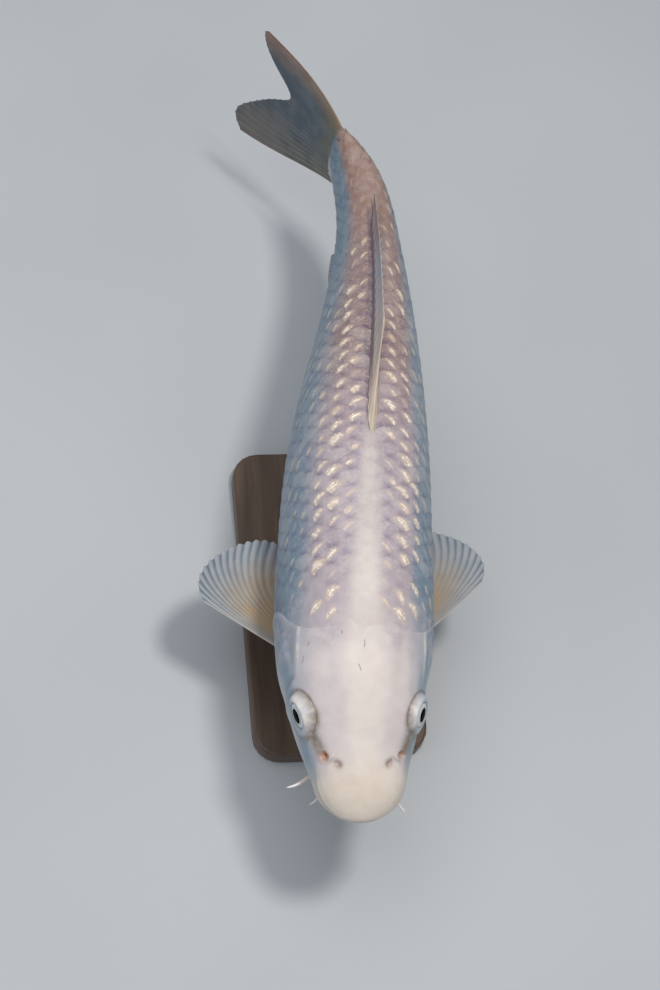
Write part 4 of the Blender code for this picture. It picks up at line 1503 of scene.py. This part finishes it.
def paired_surface(plan, sign, more_sweep=0.0, size=1.0, front_growth=0.0):
    """Surface of a paired fin, whose rays swing out from a short root."""
    front, rear = np.array(plan["root_front"]), np.array(plan["root_rear"])
    length_curve = Curve(plan["shares"], np.array(plan["lengths"]) * size)
    sweep_curve = Curve(plan["shares"], plan["sweeps"])
    droop = math.radians(plan["droop"])

    def surface(across, along):
        root = [mixed(front[i], rear[i], across) for i in range(3)]
        length = length_curve(across) * (1 + front_growth * (1 - across) ** 2)
        sweep = np.radians(sweep_curve(across) + more_sweep * (1 - 0.5 * across))
        out = np.cos(sweep) * math.cos(droop)
        station = root[0] + length * along * np.sin(sweep)
        fall = length * along * math.sin(droop) - plan["curl"] * along**2
        return place(station, sign * (root[1] + length * along * out), root[2] - fall)

    return surface


def ray_ridges(across, along, build):
    """Height of the rays, 0 to 1: they bow to the front at mid length, and may fork to the edge."""
    bow = build["bow"] * np.sin(math.pi * along**0.9) * across * (1 - across)
    phase = (across + bow) * build["rays"]
    single = 0.5 + 0.5 * np.cos(2 * math.pi * phase)
    double = 0.5 + 0.5 * np.cos(4 * math.pi * phase)
    forked = np.maximum(double * 0.8, single * 0.55)
    return mixed(single, forked, smooth(0.40, 0.60, along) * build["fork"])


def fin_grid(build):
    """Shares across and along a fin for each of its points, closer together to the edge."""
    across = np.linspace(0, 1, build["rays"] * build["each"] + 1)[None, :]
    along = np.linspace(0, 1, build["along"])[:, None] ** 0.92
    return np.broadcast_arrays(across, along)


def surface_normals(surface, across, along):
    small = 1e-3
    sides = [surface(np.clip(across + step, 0, 1), along) for step in (small, -small)]
    ends = [surface(across, np.clip(along + step, 0, 1)) for step in (small, -small)]
    return unit(np.cross(sides[0] - sides[1], ends[0] - ends[1]))


def fin_sides(surface, build, across, along, ridge):
    """World points of a fin's front and rear faces: pleated over its rays and thin at its edges."""
    rear_corner = np.clip((across - 1 + REAR_CORNER) / REAR_CORNER, 0, 1)
    front_corner = np.clip((FRONT_CORNER - across) / FRONT_CORNER, 0, 1)
    corner = rear_corner**2 + front_corner**2
    notch = EDGE_NOTCH * (1 - ridge) * smooth(0.85, 1.0, along) + build["trim"] * corner * along
    reach = along * (1 - notch)
    normal = surface_normals(surface, across, reach)
    edge = np.minimum(np.minimum(across, 1 - across) * EDGE_TAPER, 1)
    web = build["edge"] + (build["root"] - build["edge"]) * (1 - along) ** 2.2
    hollow = 0.12 + 0.33 * smooth(0.35, 0.90, along)
    thick = web * (1 - hollow * (1 - ridge)) * np.sqrt(0.12 + 0.88 * edge)
    pleat = build["pleat"] * (2 * ridge - 1) * smooth(0.42, 1.0, along) * edge
    middle = surface(across, reach)
    return [middle + normal * (pleat + half)[..., None] for half in (thick / 2, -thick / 2)]


def build_fin(name, surface, finish, plan):
    build = dict(zip(FIN_KEYS, FIN_BUILDS[plan]))
    across, along = fin_grid(build)
    ridge = ray_ridges(across, along, build)
    front, rear = fin_sides(surface, build, across, along, ridge)
    rows, columns = ridge.shape
    count = rows * columns
    one = quads(rows, columns, False)
    index = np.arange(count).reshape(rows, columns)
    loop = np.concatenate([index[0, :-1], index[:-1, -1], index[-1, :0:-1], index[:0:-1, 0]])
    following = np.roll(loop, -1)
    rim = np.stack([following, loop, loop + count, following + count], axis=-1)
    points = np.concatenate([front.reshape(-1, 3), rear.reshape(-1, 3)])
    faces = np.vstack([one, one[:, ::-1] + count, rim])
    made = new_object(name + "_web", points, faces.tolist(), finish, sharp=60)
    for value_name, value in (("ray", ridge), ("across", across), ("along", along)):
        set_values(made, value_name, np.tile(value.ravel(), 2))
    ride(made)
    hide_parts(name)


def build_fins():
    paired = paired_finish()
    build_fin("fin_caudal", tail_surface, caudal_finish(), "caudal")
    build_fin("fin_dorsal", dorsal_surface, dorsal_finish(), "dorsal")
    build_fin("fin_anal", anal_surface, paired, "anal")
    for side, sign in SIDES.items():
        pectoral = paired_surface(
            PECTORAL, sign, PECTORAL_SWEEPS[side], PECTORAL_SIZES[side], PECTORAL_FRONT_GROWTHS[side]
        )
        build_fin(f"fin_pectoral_{side}", pectoral, paired, "pectoral")
        build_fin(f"fin_pelvic_{side}", paired_surface(PELVIC, sign), paired, "pelvic")


# Colours of rays and webs along the side fins, from the root, and across the others, from the front
SIDE_RAYS = ((0.0, (0.30, 0.25, 0.20)), (0.5, (0.30, 0.295, 0.28)), (1.0, (0.31, 0.35, 0.38)))
SIDE_WEBS = (
    (0.0, (0.28, 0.24, 0.19)), (0.55, (0.27, 0.27, 0.26)),
    (0.80, (0.17, 0.22, 0.26)), (1.0, (0.10, 0.16, 0.21)),
)
TAIL_RAYS = (
    (0.0, (0.32, 0.21, 0.15)), (0.12, (0.22, 0.16, 0.12)), (0.26, (0.055, 0.09, 0.125)),
    (0.7, (0.060, 0.095, 0.125)), (1.0, (0.15, 0.13, 0.08)),
)
TAIL_WEBS = (
    (0.0, (0.17, 0.11, 0.08)), (0.26, (0.026, 0.06, 0.095)), (1.0, (0.045, 0.065, 0.070)),
)
BACK_RAYS = (
    (0.0, (0.58, 0.46, 0.34)), (0.12, (0.50, 0.38, 0.28)), (0.30, (0.50, 0.43, 0.40)),
    (0.62, (0.38, 0.39, 0.43)), (0.85, (0.32, 0.26, 0.26)),
)
BACK_WEBS = (
    (0.0, (0.68, 0.59, 0.51)), (0.18, (0.62, 0.53, 0.47)), (0.35, (0.44, 0.38, 0.37)),
    (0.62, (0.31, 0.32, 0.36)), (0.85, (0.26, 0.20, 0.20)),
)
SIDE_OCHRE = (0.42, 0.29, 0.16)
SIDE_STRANDS = (0.26, 0.22, 0.18)
SIDE_FRONT = (0.50, 0.47, 0.43)
TAIL_PALE = (0.17, 0.16, 0.15)
TAIL_OCHRE = (0.21, 0.17, 0.08)


def fin_finish(name, direction, rays, webs, low, high):
    """A fin's material with its rays and webs coloured in one direction; patches go over its colour."""
    made, hand, shader = new_finish(
        name, specular_ior_level=0.4, roughness=0.42, subsurface_weight=0.15, subsurface_scale=0.003
    )
    by = hand.value(direction)
    inputs = {"Ray": hand.value("ray"), "Low": low, "High": high}
    inputs.update({"Ray Colour": hand.ramp(by, rays), "Web Colour": hand.ramp(by, webs)})
    web = hand.group(fin_web, inputs)
    hand.feed(shader.inputs["Normal"], hand.bump(web["Relief"], 0.18, 0.0005))
    return made, hand, shader.inputs["Base Color"], web["Colour"]


def paired_finish():
    made, hand, base, colour = fin_finish(
        "koi_side_fins", "along", SIDE_RAYS, SIDE_WEBS, 0.05, 0.55
    )
    across, along = hand.value("across"), hand.value("along")
    ochre = hand.times(
        hand.within(along, 0.40, 0.92, 0.90, 0.0),
        hand.within(across, 0.06, 0.30),
        hand.within(hand.noise(40, 2), 0.30, 0.60, 0.45, 1.0),
    )
    strands = hand.times(
        hand.within(hand.math("SINE", hand.times(across, 300.0)), -0.2, 0.9, 0.0, 0.34),
        hand.within(along, 0.25, 0.70, 1.0, 0.15),
    )
    front = hand.within(across, 0.0, 0.035, 0.8, 0.0)
    patches = ((ochre, SIDE_OCHRE), (strands, SIDE_STRANDS), (front, SIDE_FRONT))
    hand.feed(base, hand.patched(colour, patches))
    return made


def caudal_finish():
    made, hand, base, colour = fin_finish("koi_tail_fin", "across", TAIL_RAYS, TAIL_WEBS, 0.2, 0.8)
    across, along = hand.value("across"), hand.value("along")
    pale = hand.times(
        hand.within(across, 0.62, 0.86),
        hand.within(along, 0.45, 0.70),
        hand.within(along, 0.80, 1.0, 0.55, 0.0),
    )
    ochre = hand.times(
        hand.within(along, 0.05, 0.55, 0.55, 0.0), hand.within(hand.noise(36, 2), 0.35, 0.62)
    )
    hand.feed(base, hand.patched(colour, ((pale, TAIL_PALE), (ochre, TAIL_OCHRE))))
    return made


def dorsal_finish():
    made, hand, base, colour = fin_finish("koi_back_fin", "across", BACK_RAYS, BACK_WEBS, 0.3, 0.8)
    across, along = hand.value("across"), hand.value("along")
    # A painted shade along the fin's root, faint at its front
    dark = hand.times(
        hand.within(along, 0.15, 0.36, 0.85, 0.0), hand.within(across, 0.05, 0.30, 0.15, 1.0)
    )
    hand.feed(base, hand.mix(dark, colour, FIN_SHADOW_DARK))
    return made


# ---- Eyes ----

# Rings of points over the pupil, round its edge, over the iris and over the back; the shader's
# ring value is a share of the opening, and this one behind it
PUPIL_RINGS = 12
PUPIL_EDGE = (0.985, 1.0, 1.02, 1.05, 1.09)
IRIS_RINGS = 15
BACK_RINGS = 12
BEHIND_RING = 1.2
# The pupil is sunk and domed, in a raised rim
PUPIL_SINK = 0.0005
PUPIL_DOME = 0.0004
PUPIL_RIM = 0.00035


def eye_profile():
    """Radius and height of each ring of an eye, from its front pole round its rim to its back."""
    front = np.concatenate([
        np.linspace(0.0, PUPIL_RADIUS * 0.96, PUPIL_RINGS),
        PUPIL_RADIUS * np.array(PUPIL_EDGE),
        np.linspace(PUPIL_RADIUS * 1.13, EYE_OPENING + 0.0010, IRIS_RINGS),
    ])
    height = eye_front(front)
    dome = PUPIL_DOME * (1 - (front / PUPIL_RADIUS) ** 2)
    height = np.where(front < PUPIL_RADIUS * 0.99, height - PUPIL_SINK + dome, height)
    height = height + PUPIL_RIM * hump(front, PUPIL_RADIUS * 1.05, PUPIL_RADIUS * 0.05)
    turn = np.linspace(0, math.pi / 2, BACK_RINGS + 1)[1:]
    back_height = height[-1] - EYE_BACK * np.sin(turn)
    return (
        np.concatenate([front, front[-1] * np.cos(turn)]),
        np.concatenate([height, back_height]),
    )


def build_eye(side, finish):
    out, rear, above = eye_axes(side)
    radii, heights = eye_profile()
    spokes = np.arange(EYE_SPOKES) * 2 * math.pi / EYE_SPOKES
    radial = np.cos(spokes)[:, None] * rear + np.sin(spokes)[:, None] * above
    inner, level = radii[1:-1], heights[1:-1]
    centre = eye_centre(side)
    rings = centre + level[:, None, None] * out + inner[:, None, None] * radial[None]
    poles = [centre + heights[0] * out, centre + heights[-1] * out]
    points = bend(np.concatenate([rings.reshape(-1, 3), poles]))
    count, last = EYE_SPOKES, (len(inner) - 1) * EYE_SPOKES
    front, back = len(points) - 2, len(points) - 1
    faces = quads(len(inner), count, True).tolist()
    for i in range(count):
        following = (i + 1) % count
        faces += [(front, following, i), (back, last + i, last + following)]
    if side == "right":
        faces = [face[::-1] for face in faces]
    made = new_object(f"eyeball_{side}", points, faces, finish)
    visible = PUPIL_RINGS + len(PUPIL_EDGE) + IRIS_RINGS
    ring = np.where(np.arange(len(inner)) >= visible, BEHIND_RING, inner / EYE_OPENING)
    set_values(made, "ring", [*np.repeat(ring, count), 0.0, BEHIND_RING])
    set_values(made, "lift", [*np.tile(np.sin(spokes), len(inner)), 0, 0])
    set_values(made, "spoke", [*np.tile(np.abs(spokes - math.pi), len(inner)), 0, 0])
    ride(made)
    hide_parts(f"eye_{side}")


def eye_finish():
    made, hand, shader = new_finish(
        "koi_eye", specular_ior_level=0.0, roughness=0.5, coat_weight=0.25, coat_roughness=0.03,
        coat_ior=1.12,
    )
    ring, share = hand.value("ring"), PUPIL_RADIUS / EYE_OPENING
    stops = (
        (0.0, PUPIL_BLACK), (share * 0.985, PUPIL_BLACK), (share * 1.015, IRIS_RIM),
        (share * 1.09, IRIS_RIM), (share * 1.14, IRIS_LINE), (share * 1.22, IRIS_SILVER),
        # The outer edge darkens to a painted shadow under the fold
        (0.90, IRIS_SILVER), (0.955, IRIS_SHADE), (1.0, IRIS_EDGE_SHADOW),
    )
    inputs = {"X": hand.value("spoke"), "Y": ring}
    radial = hand.add("ShaderNodeCombineXYZ", inputs).outputs[0]
    streaks = hand.noise(1.0, 4, stretch=(14, 3, 1), place=radial)
    iris = hand.times(hand.within(ring, share * 1.1, share * 1.25), hand.fades(ring, 0.9, 1.0))
    iris = hand.times(iris, 0.35)
    dusky = hand.times(hand.within(streaks, 0.45, 0.70), iris)
    ends = hand.within(hand.math("ABSOLUTE", hand.value("lift")), 0.55, 1.0)
    patches = ((dusky, IRIS_SHADE), (hand.times(ends, iris), IRIS_BLUE))
    colour = hand.ramp(ring, stops, easing="LINEAR")
    hand.feed(shader.inputs["Base Color"], hand.patched(colour, patches))
    return made


# ---- Barbels ----

# Root and tip as (station, offset, height), rise at mid length and root radius in metres
BARBELS = {
    "barbel_corner_right": ((0.086, -0.038, -0.060), (0.063, -0.090, -0.048), 0.003, 0.0017),
    "barbel_corner_left": ((0.088, 0.036, -0.062), (0.026, 0.064, -0.052), -0.002, 0.0017),
    "barbel_lip_right": ((0.066, -0.030, -0.050), (0.043, -0.060, -0.058), 0.004, 0.0012),
    "barbel_lip_left": ((0.058, 0.030, -0.054), (0.040, 0.046, -0.078), -0.003, 0.0012),
}
BARBEL_TIP_SHARE = 0.34
BARBEL_SWAY = 0.0022
BARBEL_RINGS = 44
BARBEL_SIDES = 20
BARBEL_STOPS = ((0.0, HEAD_LILAC), (0.35, HEAD_CREAM), (1.0, BARBEL_TIP))


def build_barbel(name, finish):
    root, tip, rise, radius = BARBELS[name]
    share = np.linspace(0, 1, BARBEL_RINGS)
    path = mixed(np.array(root)[None], np.array(tip)[None], share[:, None])
    path[:, 2] += rise * np.sin(math.pi * share)
    path[:, 0] += BARBEL_SWAY * np.sin(2 * math.pi * share)
    middle = place(path[:, 0], path[:, 1], path[:, 2])
    forward = unit(np.gradient(middle, axis=0))
    side = unit(np.cross(forward, [0.0, 0.0, 1.0]))
    up = np.cross(side, forward)
    taper = mixed(1.0, BARBEL_TIP_SHARE, share**0.8) * np.sqrt(np.clip(1.02 - share**14, 0, 1))
    wrinkle = 1 + 0.035 * np.sin(share * 70) * smooth(0, 0.1, share)
    turn = (np.arange(BARBEL_SIDES) * 2 * math.pi / BARBEL_SIDES)[None, :, None]
    round_it = np.cos(turn) * side[:, None] + np.sin(turn) * up[:, None]
    rings = middle[:, None] + (radius * taper * wrinkle)[:, None, None] * round_it
    points = rings.reshape(-1, 3)
    faces = quads(BARBEL_RINGS, BARBEL_SIDES, True).tolist()
    faces.append(tuple(range(BARBEL_SIDES))[::-1])
    faces.append(tuple(range(len(points) - BARBEL_SIDES, len(points))))
    made = new_object(f"{name}_flesh", points, faces, finish)
    set_values(made, "along", np.repeat(share, BARBEL_SIDES))
    ride(made)
    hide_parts(name)


def barbel_finish():
    made, hand, shader = new_finish(
        "koi_barbel", specular_ior_level=0.4, roughness=0.4, coat_weight=0.1,
        subsurface_weight=0.2, subsurface_scale=0.002,
    )
    colour = hand.ramp(hand.value("along"), BARBEL_STOPS)
    soft = hand.group(mottle, {"Colour": colour, "Amount": 0.15, "Size": 220.0})
    hand.feed_all(shader.inputs, {
        "Base Color": soft["Colour"], "Normal": hand.bump(hand.noise(1800, 2), 0.2, 0.0004)
    })
    return made


# ---- Stand ----

WOOD_STOPS = (
    (0.30, (0.060, 0.036, 0.024)), (0.52, (0.105, 0.064, 0.042)), (0.72, (0.160, 0.100, 0.066)),
)
WOOD_PORES = (0.045, 0.027, 0.018)
STEEL_STOPS = ((0.3, (0.52, 0.53, 0.54)), (0.7, (0.66, 0.67, 0.68)))


def wood_finish():
    made, hand, shader = new_finish(
        "stained_walnut", specular_ior_level=0.4, coat_weight=0.25, coat_roughness=0.3
    )
    grain = hand.noise(7, 6, stretch=(14, 1.0, 14))
    fine = hand.noise(46, 4, stretch=(18, 0.8, 18))
    pores = hand.within(fine, 0.55, 0.75, 0.0, 0.5)
    hand.feed_all(shader.inputs, {
        "Base Color": hand.mix(pores, hand.ramp(grain, WOOD_STOPS), WOOD_PORES),
        "Roughness": hand.scaled(grain, 0.2, 0.35),
        "Normal": hand.bump(fine, 0.15, 0.0006),
    })
    return made


def steel_finish():
    made, hand, shader = new_finish("brushed_steel", metallic=1.0)
    lines = hand.noise(500, 3, stretch=(1, 1, 12))
    hand.feed_all(shader.inputs, {
        "Base Color": hand.ramp(lines, STEEL_STOPS),
        "Roughness": hand.scaled(lines, 0.15, 0.28),
        "Normal": hand.bump(lines, 0.06, 0.0003),
    })
    return made


def finish_stand():
    """Wood and steel on the solids' own stand."""
    wood, steel = wood_finish(), steel_finish()
    for name, finish in (("stand_base", wood), ("stand_rod_front", steel), ("stand_rod_rear", steel)):
        for slot in bpy.data.objects[name].material_slots:
            slot.material = finish


# ---- Room ----

FLOOR_HALF = 3.0
FLOOR_STOPS = ((0.35, (0.50, 0.52, 0.54)), (0.65, (0.53, 0.55, 0.57)))
# Each light's place, size, power and colour; all shine at the body's middle
LIGHTS = {
    "key": ((0.24, -0.12, 1.79), 0.26, 14.2, (1.0, 0.97, 0.92)),
    "top": ((-0.35, 0.05, 1.8), 1.3, 9, (0.96, 0.98, 1.0)),
    "side": ((-1.3, -0.6, 0.9), 1.2, 3, (0.86, 0.93, 1.0)),
}
SKY = (0.86, 0.92, 1.0, 1.0)
SKY_STRENGTH = 0.30


def add_floor():
    corners = [(-1, -1, 0), (1, -1, 0), (1, 1, 0), (-1, 1, 0)]
    made, hand, shader = new_finish("floor_paper", roughness=0.85)
    hand.feed(shader.inputs["Base Color"], hand.ramp(hand.noise(3, 2), FLOOR_STOPS))
    floor = new_object("floor", np.array(corners) * FLOOR_HALF, [(0, 1, 2, 3)], made)


def matrix_of(x_axis, y_axis, z_axis, position):
    rows = [[x_axis[i], y_axis[i], z_axis[i], position[i]] for i in range(3)]
    return Matrix([*rows, [0, 0, 0, 1]])


def add_light(name, position, size, power, colour):
    data = bpy.data.lights.new(name, "AREA")
    data.shape = "DISK"
    data.size = size
    data.energy = power
    data.color = colour
    light = bpy.data.objects.new(name, data)
    forward = unit(np.array([0.0, 0.0, AXIS_HEIGHT]) - np.array(position))
    across = unit(np.cross(forward, (0.0, 0.0, 1.0)))
    light.matrix_world = matrix_of(across, np.cross(across, forward), -forward, position)
    bpy.context.scene.collection.objects.link(light)


def add_sky():
    world = bpy.data.worlds.new("room")
    world.use_nodes = True
    background = world.node_tree.nodes["Background"]
    background.inputs["Color"].default_value = SKY
    background.inputs["Strength"].default_value = SKY_STRENGTH
    bpy.context.scene.world = world


def add_camera():
    turn, rise, roll = (math.radians(v) for v in (CAMERA_TURN, CAMERA_ELEVATION, CAMERA_ROLL))
    back = np.array(
        [math.sin(turn) * math.cos(rise), -math.cos(turn) * math.cos(rise), math.sin(rise)]
    )
    level = np.array([math.cos(turn), math.sin(turn), 0.0])
    upright = np.cross(back, level)
    right = level * math.cos(roll) + upright * math.sin(roll)
    up = -level * math.sin(roll) + upright * math.cos(roll)
    target = np.array([CAMERA_TARGET[0] - stand_x, CAMERA_TARGET[1] - stand_y, 0.0])
    position = (target + back * CAMERA_DISTANCE) * STANDARD_LENGTH
    position[2] += AXIS_HEIGHT
    data = bpy.data.cameras.new("camera")
    data.lens = CAMERA_LENS
    data.sensor_width = CAMERA_SENSOR
    camera = bpy.data.objects.new("camera", data)
    camera.matrix_world = matrix_of(right, up, back, position)
    bpy.context.scene.collection.objects.link(camera)
    bpy.context.scene.camera = camera


def main():
    add_camera()
    add_floor()
    for name, light in LIGHTS.items():
        add_light(name, *light)
    add_sky()
    build_skin(skin_finish())
    build_scales(scale_finish())
    build_fins()
    eye, barbel = eye_finish(), barbel_finish()
    for side in SIDES:
        build_eye(side, eye)
    for name in BARBELS:
        build_barbel(name, barbel)
    finish_stand()


main()
bpy.context.scene.view_settings.view_transform = "Standard"
